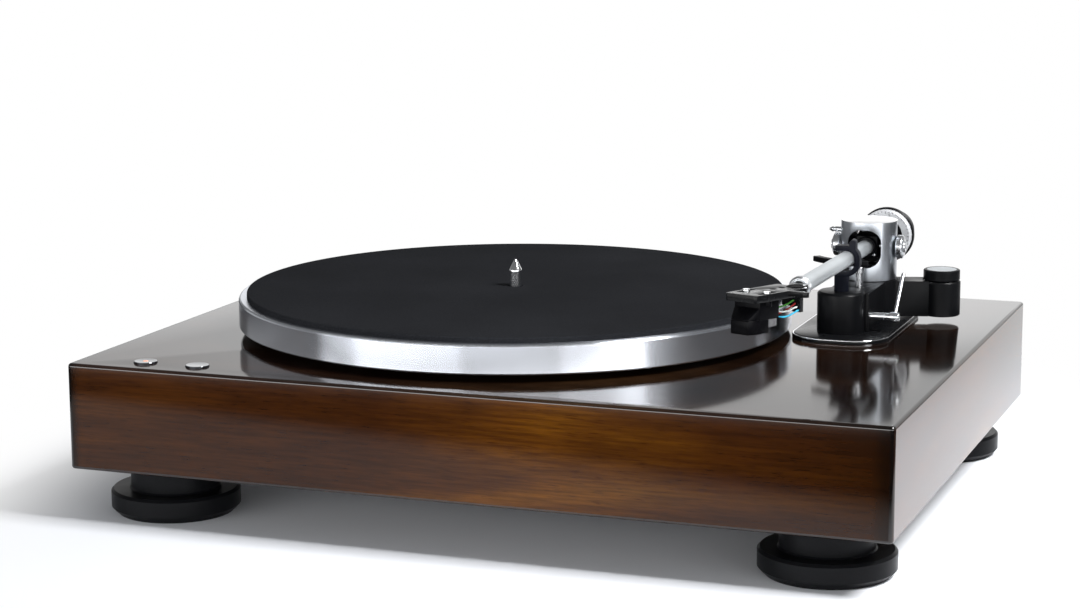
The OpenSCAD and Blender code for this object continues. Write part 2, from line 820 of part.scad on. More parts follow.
module power_button() { push_button(button_xs[0]); }
module speed_button() { push_button(button_xs[1]); }

module button_switches() {
    color([0.1, 0.1, 0.1]) for (x = button_xs) translate([x, button_y, board_z]) {
        translate([-switch_w / 2, -switch_w / 2, 0]) cube([switch_w, switch_w, switch_h - plunger_h]);
        translate([0, 0, switch_h - plunger_h]) cylinder(h = plunger_h, d = switch_w / 2);
    }
}

module board_post_places() {
    for (y = [-1, 1]) translate([button_mid_x, board_y + y * post_reach, 0]) children();
}

module control_board() {
    color([0.1, 0.35, 0.2]) translate([button_mid_x - board_w / 2, board_y - board_d / 2, board_z - board_t])
        cube([board_w, board_d, board_t]);
}

module board_posts() {
    color(steel_grey) translate([0, 0, board_z]) board_post_places() cylinder(h = board_drop, d = post_d);
}

module rear_panel() {
    w = window_w + 2 * panel_lap;
    h = window_h + 2 * panel_lap;
    color(satin_black) difference() {
        translate([window_x - w / 2, rear_panel_y - rear_panel_t, window_z - h / 2])
            cube([w, rear_panel_t, h]);
        translate([0, rear_panel_y - rear_panel_t - cut, window_z]) {
            for (i = [0, 1]) translate([jack_x + i * jack_step, 0, 0])
                along_y(rear_panel_t + 2 * cut, jack_d / 2 + seat_clear);
            translate([ground_x, 0, 0]) along_y(rear_panel_t + 2 * cut, ground_d / 2 + seat_clear);
            translate([inlet_x, 0, 0]) along_y(rear_panel_t + 2 * cut, inlet_d / 2 + seat_clear);
        }
    }
}

module rca_jacks() {
    color([0.8, 0.68, 0.35]) for (i = [0, 1]) translate([jack_x + i * jack_step, rear_panel_y, window_z]) {
        difference() {
            union() {
                along_y(jack_nut_t + jack_len, jack_d / 2);
                along_y(jack_nut_t, jack_nut_d / 2);
                translate([0, -rear_panel_t - jack_tail, 0])
                    along_y(rear_panel_t + jack_tail + cut, jack_d / 2);
            }
            translate([0, jack_nut_t, 0]) along_y(jack_len + cut, jack_hole_d / 2);
        }
    }
}

module ground_post() {
    color(bright_metal) translate([ground_x, rear_panel_y, window_z]) {
        translate([0, -rear_panel_t - ground_tail, 0])
            along_y(rear_panel_t + ground_tail + ground_len, ground_d / 2);
        along_y(ground_nut_h, ground_nut_d / 2);
    }
}

module power_inlet() {
    color([0.1, 0.1, 0.1]) translate([inlet_x, rear_panel_y, window_z]) difference() {
        union() {
            along_y(inlet_rim_t, inlet_d / 2 + inlet_rim_w);
            translate([0, -inlet_depth, 0]) along_y(inlet_depth + cut, inlet_d / 2);
        }
        translate([0, inlet_rim_t - inlet_bore_len, 0]) along_y(inlet_bore_len + cut, inlet_bore_d / 2);
    }
}

// Arm base
module base_outline(inset) {
    translate([base_x, base_front_y + base_len / 2])
        rounded_rect(base_w - 2 * inset, base_len - 2 * inset, base_corner_r - inset);
}

module arm_base_plate() {
    color(satin_black) difference() {
        translate([0, 0, deck_z]) linear_extrude(base_t) base_outline(trim_w + seat_clear / 2);
        at_pivot(deck_z - cut) cylinder(h = base_t + 2 * cut, d = stud_d + 2 * seat_clear);
    }
}

module arm_base_trim() {
    color(bright_metal) translate([0, 0, deck_z]) linear_extrude(base_t - trim_drop) difference() {
        base_outline(0);
        base_outline(trim_w);
    }
}

module arm_bridge() {
    tower_foot_r = tower_r + tower_foot_w;
    wing_top = bridge_h - wing_drop;
    color(satin_black) difference() {
        union() {
            // pad under the tower, the bar forward to the lift housing and the wing out to the drum
            at_pivot(base_z) cylinder(h = bridge_h - base_t, r = tower_foot_r);
            translate([pivot_x - bridge_w / 2, lift_y, base_z])
                cube([bridge_w, lift_off_y, bridge_h - base_t]);
            wing_turn = atan2(drum_off_y, drum_off_x);
            at_pivot(drum_z) rotate([0, 0, wing_turn]) translate([0, -wing_w / 2, 0])
                cube([norm([drum_off_x, drum_off_y]), wing_w, wing_top - overhang]);
            // hollow stud down through the deck
            at_pivot(deck_z - stud_len) cylinder(h = stud_len + base_t + cut, d = stud_d);
        }
        translate([lift_x, lift_y, base_z - cut]) cylinder(h = bridge_h + cut, d = lift_d + 2 * seat_clear);
        translate([drum_x, drum_y, drum_z - cut]) cylinder(h = bridge_h, d = drum_d + 2 * seat_clear);
        at_pivot(bridge_z - swing_len - end_room)
            cylinder(h = swing_len + end_room + cut, d = swing_d + 2 * shaft_clear);
        lift_pin_place(bridge_z - lift_pin_in - lift_travel - end_room)
            cylinder(h = lift_pin_in + lift_travel + end_room + cut, d = lift_pin_d + 2 * shaft_clear);
        translate([lift_x, cue_y, cue_z]) along_x(bridge_w, cue_axle_d / 2 + move_clear);
        // way for the arm's wiring, down through the stud
        at_pivot(deck_z - stud_len - cut) cylinder(h = stud_len, d = swing_d);
    }
}

module arm_base_nut() {
    color(steel_grey) at_pivot(under_z - base_nut_t) difference() {
        cylinder(h = base_nut_t, d = nut_across, $fn = 6);
        translate([0, 0, -cut]) cylinder(h = base_nut_t + 2 * cut, d = stud_d + 2 * seat_clear);
    }
}

module lift_housing() {
    color(satin_black) difference() {
        translate([lift_x, lift_y, base_z]) {
            cylinder(h = lift_h - base_t - lift_chamfer, d = lift_d);
            translate([0, 0, lift_h - base_t - lift_chamfer])
                cylinder(h = lift_chamfer, d1 = lift_d, d2 = lift_d - 2 * lift_chamfer);
        }
        translate([lift_x + lift_d / 2 - cue_axle_in, cue_y, cue_z])
            along_x(cue_axle_in + cut, cue_axle_d / 2 + shaft_clear);
    }
}

module antiskate_drum() {
    color(satin_black) translate([drum_x, drum_y, drum_z]) difference() {
        cylinder(h = drum_seam_h - overhang, d = drum_d);
        translate([0, 0, drum_seam_h - overhang - knob_pin_len - end_room / 2])
            cylinder(h = knob_pin_len + cut, d = knob_pin_d + 2 * shaft_clear);
    }
}

module antiskate_knob() {
    knob_r = drum_d / 2 - knob_step;
    color(satin_black) translate([drum_x, drum_y, seam_z + move_clear]) {
        difference() {
            cylinder(h = knob_h, r = knob_r);
            translate([0, 0, knob_h - knob_sink]) cylinder(h = cut, r = knob_r - knob_rim);
        }
        translate([0, 0, -move_clear - knob_pin_len])
            cylinder(h = knob_pin_len + move_clear + cut, d = knob_pin_d);
    }
}

// Arm rest: a post on the lift housing and a clip round the tube that is open towards the platter
module rest_outline() {
    grip = tube_r + rest_clear;
    outer = grip + rest_wall;
    difference() {
        union() {
            circle(outer);
            translate([0, -rest_drop]) circle(outer);
            translate([0, -rest_drop]) square([outer, rest_drop]);
            translate([-rest_hook, grip]) square([rest_hook, rest_wall]);
            translate([-outer, -outer - rest_drop]) square([outer, rest_wall]);
            translate([rest_finger_x, 0]) square([rest_finger_w, rest_finger_top - rest_finger_w / 2]);
            translate([rest_finger_x + rest_finger_w / 2, rest_finger_top - rest_finger_w / 2])
                circle(d = rest_finger_w);
        }
        circle(grip);
        translate([0, -rest_drop]) circle(grip);
        translate([0, -rest_drop]) square([grip, rest_drop]);
        translate([-2 * outer, -grip - rest_drop]) square([2 * outer, 2 * grip + rest_drop]);
    }
}

module arm_rest() {
    rise = rest_reach * sin(arm_tilt);
    jaw_z = pivot_z + rise - tube_r - rest_clear - rest_drop;
    color(satin_black) {
        tower_frame(pivot_z + rise) translate([0, -rest_reach + rest_w / 2, 0]) rotate([90, 0, 0])
            linear_extrude(rest_w) rest_outline();
        translate([lift_x, lift_y, lift_top]) cylinder(h = jaw_z - lift_top, d = rest_post_d);
        // shelf from the post forward to the clip
        translate([lift_x - rest_post_d / 2, lift_y - rest_ahead, jaw_z - rest_wall])
            cube([rest_post_d, rest_ahead, rest_wall]);
    }
}

// Cue lift: lever outside, pin and bar under the tube
module lift_pin_place(z) {
    tower_frame(z) translate([lift_pin_x, -lift_reach, 0]) children();
}

module cue_axle() {
    color(bright_metal) translate([lift_x + lift_d / 2 - cue_axle_in + move_clear, cue_y, cue_z])
        along_x(cue_axle_in - move_clear + cue_axle_out, cue_axle_d / 2);
}

module cue_lever() {
    hub_x = lift_x + lift_d / 2 + cue_axle_out - cue_hub_w;
    color(bright_metal) translate([hub_x, cue_y, cue_z]) difference() {
        union() {
            along_x(cue_hub_w, cue_hub_d / 2);
            translate([cue_hub_w / 2, 0, 0]) rotate([-cue_rod_angle, 0, 0])
                cylinder(h = cue_rod_len, d = cue_rod_d);
        }
        translate([-cut, 0, 0]) along_x(cue_hub_w + 2 * cut, cue_axle_d / 2 + seat_clear / 2);
    }
}

module lift_pin() {
    bar_z = lift_bar_top() - lift_bar_t;
    color(bright_metal) lift_pin_place(bridge_z - lift_pin_in)
        cylinder(h = bar_z - bridge_z + lift_pin_in, d = lift_pin_d);
    color(bright_metal) lift_pin_place(bar_z - lift_head_h) cylinder(h = lift_head_h, d = lift_head_d);
}

// Top of the lift bar, just under the tube at the bar's own radius
function lift_bar_top() =
    pivot_z + (lift_reach - lift_bar_w) * sin(arm_tilt) - tube_r / cos(arm_tilt) - move_clear;

module lift_bar() {
    r_in = lift_reach - lift_bar_w / 2;
    sweep = lift_bar_to - lift_bar_from;
    color(satin_black) tower_frame(lift_bar_top() - lift_bar_t) rotate([0, 0, -90 - lift_bar_to])
        rotate_extrude(angle = sweep) translate([r_in, 0]) square([lift_bar_w, lift_bar_t]);
}

// Arm tower
module arm_tower() {
    h = tower_top - tower_bottom;
    axis_h = pivot_h - tower_bottom;
    color(soft_grey) tower_frame(tower_z) difference() {
        cylinder(h = h, d = tower_d);
        // window right through, along the tube
        translate([0, tower_d, axis_h]) rotate([90, 0, 0]) linear_extrude(2 * tower_d)
            rounded_rect(tower_win_w, tower_win_h, tower_win_r);
        translate([-tower_d, 0, axis_h]) along_x(2 * tower_d, screw_d / 2 + seat_clear);
        translate([0, 0, -cut]) cylinder(h = axis_h, d = swing_d + 2 * seat_clear);
        translate([-tower_d, 0, axis_h + tower_pin_rise]) along_x(tower_d, tower_pin_d / 2 + seat_clear);
    }
}

module swing_shaft() {
    rise = pivot_h - tower_win_h / 2 - bridge_h - end_room;
    color(steel_grey) at_pivot(bridge_z - swing_len) cylinder(h = swing_len + rise, d = swing_d);
}

module pivot_screws() {
    tip_x = block_side / 2 + screw_point_gap;
    nut_x = tower_r + nut_gap;
    color(bright_metal) tower_frame(pivot_z) for (s = [0, 1]) mirror([s, 0, 0]) {
        translate([tip_x, 0, 0]) along_x(nut_x + nut_len - tip_x, screw_d / 2);
        translate([nut_x, 0, 0]) along_x(nut_len, nut_d / 2);
    }
}

module tower_pin() {
    color(bright_metal) tower_frame(pivot_z + tower_pin_rise) mirror([1, 0, 0]) {
        in_x = tower_win_w / 2 + end_room;
        translate([in_x, 0, 0]) along_x(tower_r + tower_pin_len - tower_pin_tip - in_x, tower_pin_d / 2);
        translate([tower_r + tower_pin_len - tower_pin_tip, 0, 0]) rotate([0, 90, 0])
            cylinder(h = tower_pin_tip, d1 = tower_pin_d, d2 = tower_point_d);
    }
}

// Tonearm
module arm_tube() {
    color(soft_grey) arm_frame() translate([0, -tube_reach, 0]) difference() {
        along_y(tube_reach + arm_back, tube_r);
        translate([0, -cut, 0]) along_y(tube_reach + arm_back + 2 * cut, tube_r - tube_t);
    }
}

module gimbal_block() {
    color(satin_black) arm_frame() difference() {
        translate([-block_side / 2, -block_len / 2, -block_side / 2])
            cube([block_side, block_len, block_side]);
        translate([0, -block_len, 0]) along_y(2 * block_len, tube_r + seat_clear / 2);
    }
}

module headshell_collar() {
    color(bright_metal) arm_frame() translate([0, -tube_reach, 0]) difference() {
        along_y(collar_len, collar_d / 2);
        translate([0, -cut, 0]) along_y(collar_len + 2 * cut, tube_r + seat_clear / 2);
    }
}

module headshell() {
    color(satin_black) head_frame() {
        difference() {
            union() {
                // plate with rounded front corners, finger lift, neck and terminal wall
                translate([0, -(head_len + head_back) / 2, head_under]) linear_extrude(head_t)
                    rounded_rect(head_w, head_len - head_back, head_corner_r);
                translate([head_w / 2 - finger_in, -finger_y, head_rise - finger_t])
                    linear_extrude(finger_t) {
                        square([finger_len, finger_w]);
                        translate([finger_len, finger_w / 2]) circle(d = finger_w);
                    }
                rotate([0, 0, head_angle]) translate([0, -neck_len, 0]) along_y(neck_len, neck_d / 2);
                translate([terminal_x - terminal_w / 2, -terminal_y - terminal_t, -terminal_h])
                    cube([terminal_w, terminal_t, terminal_h]);
            }
            for (s = [-1, 1]) translate([s * cart_pitch / 2, -slot_mid, head_under - cut])
                linear_extrude(head_t + 2 * cut) slot_2d(slot_len, slot_w);
            for (y = hole_ys) translate([0, -y, head_under - cut])
                cylinder(h = head_t + 2 * cut, d = hole_d);
        }
    }
}

module headshell_screws() {
    color(bright_metal) head_frame() for (s = [-1, 1]) translate([s * cart_pitch / 2, -slot_mid, head_rise])
        screw(cart_screw_d, head_t + cart_mount_h - end_room / 2, screw_head_d, screw_head_h);
}

module cartridge_body() {
    color(satin_black) head_frame() difference() {
        union() {
            translate([-cart_w / 2, -cart_front, head_under - cart_block_h])
                cube([cart_w, cart_front - cart_back, cart_block_h]);
            for (s = [-1, 1]) translate([s * cart_pitch / 2, -slot_mid, head_under - cart_mount_h])
                cylinder(h = cart_mount_h, d = cart_ear_d);
        }
        for (s = [-1, 1]) translate([s * cart_pitch / 2, -slot_mid, head_under - cart_mount_h])
            cylinder(h = cart_mount_h + cut, d = cart_screw_d + 2 * seat_clear);
    }
}

module stylus_holder() {
    top = head_under - cart_block_h;
    tip = head_under - cart_h;
    color([0.12, 0.12, 0.13]) head_frame() {
        translate([-holder_w / 2, -holder_front, top - holder_h])
            cube([holder_w, holder_front - holder_back, holder_h]);
        // cantilever and tip
        translate([-cantilever_w / 2, -stylus_y - cantilever_w / 2, top - holder_h - cantilever_drop])
            cube([cantilever_w, stylus_y - holder_back, cantilever_w]);
        translate([0, -stylus_y, tip])
            cylinder(h = top - holder_h - tip, d1 = stylus_point_d, d2 = stylus_d);
    }
}

module stylus_guard() {
    top = head_under - cart_block_h;
    half = cart_w / 2;
    nose = half - guard_taper;
    inner = half - guard_t;
    inner_nose = nose - guard_t;
    outline = [[-half, -guard_back], [half, -guard_back], [half, -guard_bend], [nose, -guard_front],
               [-nose, -guard_front], [-half, -guard_bend]];
    hollow = [[-inner, -guard_back + cut], [inner, -guard_back + cut], [inner, -guard_bend],
              [inner_nose, -guard_front + guard_t], [-inner_nose, -guard_front + guard_t],
              [-inner, -guard_bend]];
    color(satin_black) head_frame() translate([0, 0, top - guard_h]) difference() {
        linear_extrude(guard_h) polygon(outline);
        translate([0, 0, guard_t]) linear_extrude(guard_h) polygon(hollow);
    }
}

// Tube swept along points, with a ring of sides at each
function unit(v) = v / norm(v);
function tangent(p, i) = unit(p[min(i + 1, len(p) - 1)] - p[max(i - 1, 0)]);

module swept_tube(points, d, sides = 8) {
    n = len(points);
    rings = [for (i = [0 : n - 1]) let (
        t = tangent(points, i),
        a = unit(cross(t, [0, 0, 1])),
        b = cross(t, a)
    ) for (k = [0 : sides - 1]) points[i] + d / 2 * (a * cos(360 * k / sides) + b * sin(360 * k / sides))];
    walls = [for (i = [0 : n - 2], k = [0 : sides - 1]) let (
        k2 = (k + 1) % sides,
        p0 = i * sides + k, p1 = i * sides + k2, p2 = (i + 1) * sides + k2, p3 = (i + 1) * sides + k
    ) each [[p0, p1, p2], [p0, p2, p3]]];
    ends = concat(
        [for (k = [1 : sides - 2]) [0, k + 1, k]],
        [for (k = [1 : sides - 2]) (n - 1) * sides * [1, 1, 1] + [0, k, k + 1]]
    );
    polyhedron(points = rings, faces = concat(walls, ends), convexity = 4);
}

module cartridge_leads() {
    stations = [0 : len(lead_ahead) - 1];
    color([0.5, 0.6, 0.7]) head_frame() for (lead = [0 : len(lead_x) - 1])
        swept_tube([for (i = stations) [lead_x[lead][i], -lead_ahead[i], lead_z[lead][i]]], lead_d);
}

// Counterweight on its stub
module rear_stub() {
    color(steel_grey) arm_frame() translate([0, arm_back + seat_clear, 0])
        along_y(stub_len - arm_back, stub_d / 2);
}

module weight_sleeve() {
    color(satin_black) arm_frame() translate([0, weight_y + weight_recess, 0]) difference() {
        along_y(weight_len - weight_recess, sleeve_r);
        translate([0, -cut, 0]) along_y(weight_len + cut, stub_d / 2 + shaft_clear);
    }
}

module counterweight() {
    color(satin_black) arm_frame() translate([0, weight_y, 0]) difference() {
        union() {
            along_y(weight_len, weight_body_d / 2);
            along_y(weight_rim_t, weight_d / 2);
            // hub that carries the force dial
            translate([0, -dial_t - weight_gap, 0]) along_y(dial_t + weight_gap + cut, weight_hub_r);
        }
        translate([0, -cut, 0]) along_y(weight_len + 2 * cut, sleeve_r + shaft_clear);
        translate([0, -dial_t - weight_gap - cut, 0])
            along_y(dial_t + weight_gap + cut + weight_recess, weight_hub_r - weight_hub_t);
    }
}

module force_dial() {
    color(bright_metal) arm_frame() translate([0, weight_reach, 0]) difference() {
        along_y(dial_t, dial_d / 2);
        translate([0, -cut, 0]) along_y(dial_t + 2 * cut, dial_bore_d / 2);
    }
}

plinth_shell();
bottom_panel();
bottom_screws();
foot_front_left();
foot_front_right();
foot_rear_left();
foot_rear_right();
foot_bolts();
platter();
platter_mat();
spindle();
bearing_housing();
bearing_bush();
thrust_ball();
bearing_screws();
motor_body();
motor_plate();
motor_grommets();
motor_screws();
motor_shaft();
motor_pulley();
drive_belt();
power_button();
speed_button();
button_switches();
control_board();
board_posts();
rear_panel();
rca_jacks();
ground_post();
power_inlet();
arm_base_plate();
arm_base_trim();
arm_bridge();
arm_base_nut();
lift_housing();
arm_rest();
antiskate_drum();
antiskate_knob();
cue_axle();
cue_lever();
lift_pin();
lift_bar();
arm_tower();
pivot_screws();
tower_pin();
swing_shaft();
arm_tube();
gimbal_block();
headshell_collar();
headshell();
headshell_screws();
cartridge_body();
stylus_holder();
stylus_guard();
cartridge_leads();
rear_stub();
weight_sleeve();
counterweight();
force_dial();
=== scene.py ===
# %% [markdown]
# # A belt-drive turntable, dressed for a picture
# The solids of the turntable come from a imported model: plinth, feet, platter, arm and drive are all
# there, each as a named node on a named body. This lesson loads that frame and builds the looks
# around it. Places and outer sizes are read from the frame, so the pieces made here sit exactly where the
# solids are; only bores, steps and eased edges are plain numbers.

# %% Load the frame
import json
import math

import bmesh
import bpy
from mathutils import Matrix, Vector


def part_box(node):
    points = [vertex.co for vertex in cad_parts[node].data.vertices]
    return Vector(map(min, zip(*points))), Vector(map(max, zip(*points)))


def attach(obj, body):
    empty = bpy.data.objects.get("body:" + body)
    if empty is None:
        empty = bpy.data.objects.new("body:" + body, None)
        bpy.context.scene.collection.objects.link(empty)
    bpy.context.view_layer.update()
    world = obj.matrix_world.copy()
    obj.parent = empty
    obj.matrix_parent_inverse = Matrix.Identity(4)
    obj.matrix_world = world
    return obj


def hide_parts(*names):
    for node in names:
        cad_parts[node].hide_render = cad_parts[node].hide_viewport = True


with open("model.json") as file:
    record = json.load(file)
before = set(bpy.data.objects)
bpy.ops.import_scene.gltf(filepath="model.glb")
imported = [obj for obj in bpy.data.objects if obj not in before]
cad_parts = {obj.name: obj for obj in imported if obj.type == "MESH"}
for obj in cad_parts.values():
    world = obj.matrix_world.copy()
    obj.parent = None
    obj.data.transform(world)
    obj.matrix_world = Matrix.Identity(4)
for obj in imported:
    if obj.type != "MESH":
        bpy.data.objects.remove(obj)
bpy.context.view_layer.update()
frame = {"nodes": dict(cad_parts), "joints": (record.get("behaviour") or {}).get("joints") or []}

mm = 0.001
joints = {joint["name"]: joint for joint in frame["joints"]}

# %% [markdown]
# ## Camera
# The photograph was taken with a long lens from a little above the deck and a little to the right.
# The place and the turn were worked out from the plinth's corners and the platter's rim, so they are
# plain numbers here. A long lens keeps the plinth's edges nearly parallel. The lens follows from the
# focal length in pixels, because Blender's sensor is 36 mm wide and the picture 1080 pixels.

# %% Camera at the photograph's place
PICTURE_WIDTH = 1080
FOCAL_PIXELS = 2551
AXIS_ABOVE_MIDDLE = 2.2
CAMERA_PLACE = (0.4627, -1.2949, 0.3515)
azimuth = math.radians(20.42)
elevation = math.radians(10.38)
roll = math.radians(-0.23)

camera_data = bpy.data.cameras.new("photo_camera")
camera_data.sensor_width = 36
camera_data.lens = camera_data.sensor_width * FOCAL_PIXELS / PICTURE_WIDTH
camera_data.shift_y = -AXIS_ABOVE_MIDDLE / PICTURE_WIDTH
camera = bpy.data.objects.new("photo_camera", camera_data)
bpy.context.scene.collection.objects.link(camera)
look_back = Vector((math.sin(azimuth) * math.cos(elevation), -math.cos(azimuth) * math.cos(elevation),
                    math.sin(elevation)))
camera.rotation_mode = "QUATERNION"
level = (-look_back).to_track_quat("-Z", "Y").to_matrix().to_4x4()
turn = level @ Matrix.Rotation(roll, 4, "Z")
camera.matrix_world = Matrix.Translation(CAMERA_PLACE) @ turn
bpy.context.scene.camera = camera
bpy.context.scene.view_settings.view_transform = "Standard"
print("lens:", round(camera_data.lens, 1), "mm")

# %% [markdown]
# ## White surroundings
# The object stands in front of white. A white world would also light the object from all sides and bleach
# it, so the world looks different to different rays, which the Light Path node tells apart. The camera
# sees plain white. Reflections see a white backdrop behind the object and a darker room elsewhere, which
# gives chrome its dark lines. All other rays get a dim, slightly cool ambient light. The small functions
# come first: each adds one kind of node and returns its output.

# %% World
AMBIENT = 0.18
AMBIENT_COLOUR = (0.94, 0.97, 1, 1)
ROOM = 0.16
WHITE = (1, 1, 1, 1)
BACKDROP_WAY = (-0.12, 0.99, 0)
BACKDROP_FADE = (0.8, 0.95)


def arithmetic(nodes, links, operation, first, second):
    """Joins two values by one step of arithmetic."""
    step = nodes.new("ShaderNodeMath")
    step.operation = operation
    links.new(first, step.inputs[0])
    links.new(second, step.inputs[1])
    return step.outputs[0]


def smooth_fade(nodes, links, value, limits, low=0, high=1):
    """A number that runs smoothly from low to high between two limits."""
    fade = nodes.new("ShaderNodeMapRange")
    fade.interpolation_type = "SMOOTHSTEP"
    fade.inputs["From Min"].default_value = limits[0]
    fade.inputs["From Max"].default_value = limits[1]
    fade.inputs["To Min"].default_value = low
    fade.inputs["To Max"].default_value = high
    links.new(value, fade.inputs["Value"])
    return fade.outputs[0]


def reach_along(nodes, links, vector, direction):
    """How far a vector reaches in a direction."""
    product = nodes.new("ShaderNodeVectorMath")
    product.operation = "DOT_PRODUCT"
    product.inputs[1].default_value = direction
    links.new(vector, product.inputs[0])
    return product.outputs["Value"]


def mixed(nodes, links, factor, first, second):
    """Two shaders mixed by a factor."""
    mix = nodes.new("ShaderNodeMixShader")
    links.new(factor, mix.inputs["Fac"])
    links.new(first, mix.inputs[1])
    links.new(second, mix.inputs[2])
    return mix.outputs[0]


def seen_directly(nodes, links, path):
    """A factor that is 1 for camera, glossy and transmission rays."""
    rays = path.outputs
    first = arithmetic(nodes, links, "MAXIMUM", rays["Is Camera Ray"], rays["Is Glossy Ray"])
    return arithmetic(nodes, links, "MAXIMUM", first, rays["Is Transmission Ray"])


def white_world():
    world = bpy.data.worlds.new("white_room")
    bpy.context.scene.world = world
    world.use_nodes = True
    nodes = world.node_tree.nodes
    links = world.node_tree.links
    ambient = nodes["Background"]
    ambient.inputs["Color"].default_value = AMBIENT_COLOUR
    ambient.inputs["Strength"].default_value = AMBIENT
    mirrored = nodes.new("ShaderNodeBackground")
    backdrop = nodes.new("ShaderNodeBackground")
    for lit in (mirrored, backdrop):
        lit.inputs["Color"].default_value = WHITE
    way = nodes.new("ShaderNodeTexCoord").outputs["Generated"]
    facing = reach_along(nodes, links, way, BACKDROP_WAY)
    links.new(smooth_fade(nodes, links, facing, BACKDROP_FADE, ROOM), mirrored.inputs["Strength"])
    path = nodes.new("ShaderNodeLightPath")
    room = mixed(nodes, links, seen_directly(nodes, links, path), ambient.outputs[0], mirrored.outputs[0])
    whole = mixed(nodes, links, path.outputs["Is Camera Ray"], room, backdrop.outputs[0])
    links.new(whole, nodes["World Output"].inputs["Surface"])


white_world()
print("world: ambient light", AMBIENT, "and a mirrored room of", ROOM)

# %% [markdown]
# ## Floor
# A wide floor would need a lot of light to be white far away, and that light would bleach the object too.
# So the floor is a plain pale surface near the object, where it catches the shadow, and fades into an even
# white glow further out. For the camera the glow comes close, and closer at the sides than in front;
# reflections find it further away. In front and at both sides the table soon ends, and there reflections
# see a dark room: the plinth's lacquer shows the pale table only low on its front, and the rim is dark at
# its two ends.

# %% Floor
TABLE_COLOUR = (0.88, 0.9, 0.94, 1)
DARK_ROOM = (0.05, 0.05, 0.055, 1)
FLOOR_HALF = 15
GLOWS = {
    "camera": {"limits": (0.27, 0.42), "shape": (1.2, 0.9, 0)},
    "mirror": {"limits": (0.3, 0.75), "shape": (1, 1, 0)},
}
TABLE_FRONT = (0.4, -1, 0)
FRONT_FADE = (0.29, 0.43)
SIDE_FADE = (0.42, 0.55)


def glow_share(nodes, links, place, path):
    """Where the floor glows: beyond one oval for the camera, beyond a circle for reflections."""
    rays = {"camera": path.outputs["Is Camera Ray"], "mirror": seen_directly(nodes, links, path)}
    shares = []
    for name, ring in GLOWS.items():
        shaped = nodes.new("ShaderNodeVectorMath")
        shaped.operation = "MULTIPLY"
        shaped.inputs[1].default_value = ring["shape"]
        away = nodes.new("ShaderNodeVectorMath")
        away.operation = "LENGTH"
        links.new(place, shaped.inputs[0])
        links.new(shaped.outputs[0], away.inputs[0])
        fade = smooth_fade(nodes, links, away.outputs["Value"], ring["limits"])
        shares.append(arithmetic(nodes, links, "MULTIPLY", fade, rays[name]))
    return arithmetic(nodes, links, "MAXIMUM", *shares)


def table_end(nodes, links, place, path):
    """Where a reflection looks past the table, in front or at a side."""
    axes = nodes.new("ShaderNodeSeparateXYZ")
    sideways = nodes.new("ShaderNodeMath")
    sideways.operation = "ABSOLUTE"
    links.new(place, axes.inputs[0])
    links.new(axes.outputs["X"], sideways.inputs[0])
    front = smooth_fade(nodes, links, reach_along(nodes, links, place, TABLE_FRONT), FRONT_FADE)
    side = smooth_fade(nodes, links, sideways.outputs[0], SIDE_FADE)
    off_table = arithmetic(nodes, links, "MAXIMUM", front, side)
    return arithmetic(nodes, links, "MULTIPLY", off_table, path.outputs["Is Glossy Ray"])


def pale_table():
    material = bpy.data.materials.new("pale_table")
    material.use_nodes = True
    nodes = material.node_tree.nodes
    links = material.node_tree.links
    surface = nodes["Principled BSDF"]
    surface.inputs["Base Color"].default_value = TABLE_COLOUR
    surface.inputs["Specular IOR Level"].default_value = 0
    glow = nodes.new("ShaderNodeEmission")
    dark = nodes.new("ShaderNodeEmission")
    dark.inputs["Color"].default_value = DARK_ROOM
    place = nodes.new("ShaderNodeTexCoord").outputs["Object"]
    path = nodes.new("ShaderNodeLightPath")
    table = mixed(nodes, links, glow_share(nodes, links, place, path), surface.outputs[0], glow.outputs[0])
    whole = mixed(nodes, links, table_end(nodes, links, place, path), table, dark.outputs[0])
    links.new(whole, nodes["Material Output"].inputs["Surface"])
    return material


def table_floor():
    bm = bmesh.new()
    bmesh.ops.create_grid(bm, x_segments=1, y_segments=1, size=FLOOR_HALF)
    mesh = bpy.data.meshes.new("table_floor")
    bm.to_mesh(mesh)
    bm.free()
    mesh.materials.append(pale_table())
    floor = bpy.data.objects.new("table_floor", mesh)
    bpy.context.scene.collection.objects.link(floor)
    return floor


floor = table_floor()
print("floor:", floor.dimensions.x, "m wide, glow from", GLOWS["camera"]["limits"][0], "m")

# %% [markdown]
# ## Studio light
# Glossy lacquer and metal show what stands round them, so the lamps are large soft boxes, hidden from the
# camera. The main one hangs above on the right, so the shadow lies under the plinth and falls to the left.
# Low ones stand round the camera: the left and right ones make the bright bands on the platter's rim, a
# weaker one fills in between them, and a small one softens the left band's end. A faint one far on the
# left keeps the rim's left end grey, and a faint one behind brightens the far right of the deck.

# %% Soft boxes
BOX_HEIGHT = 0.31
BOX_TALL = 0.56
RIM_AIM = (0, 0, 0.09)
LOW_BOXES = {
    "left_box": {"place": (-0.77, -1.85), "width": 1.66, "watts": 15},
    "far_left_box": {"place": (-2.1, 0.07), "width": 2.3, "watts": 1.25},
    "left_end_box": {"place": (-1.6, -1.2), "width": 0.6, "watts": 2.4},
    "middle_box": {"place": (0.71, -2.19), "width": 1.43, "watts": 9.5},
    "right_box": {"place": (1.62, -1.18), "width": 1.3, "watts": 10},
}


def soft_box(name, place, aim, width, height, watts):
    lamp = bpy.data.lights.new(name, "AREA")
    lamp.shape = "RECTANGLE"
    lamp.size = width
    lamp.size_y = height
    lamp.energy = watts
    box = bpy.data.objects.new(name, lamp)
    bpy.context.scene.collection.objects.link(box)
    facing = (Vector(aim) - Vector(place)).to_track_quat("-Z", "Y").to_matrix().to_4x4()
    box.matrix_world = Matrix.Translation(place) @ facing
    box.visible_camera = False
    print(name, "gives", watts, "W from", width, "by", height, "m")


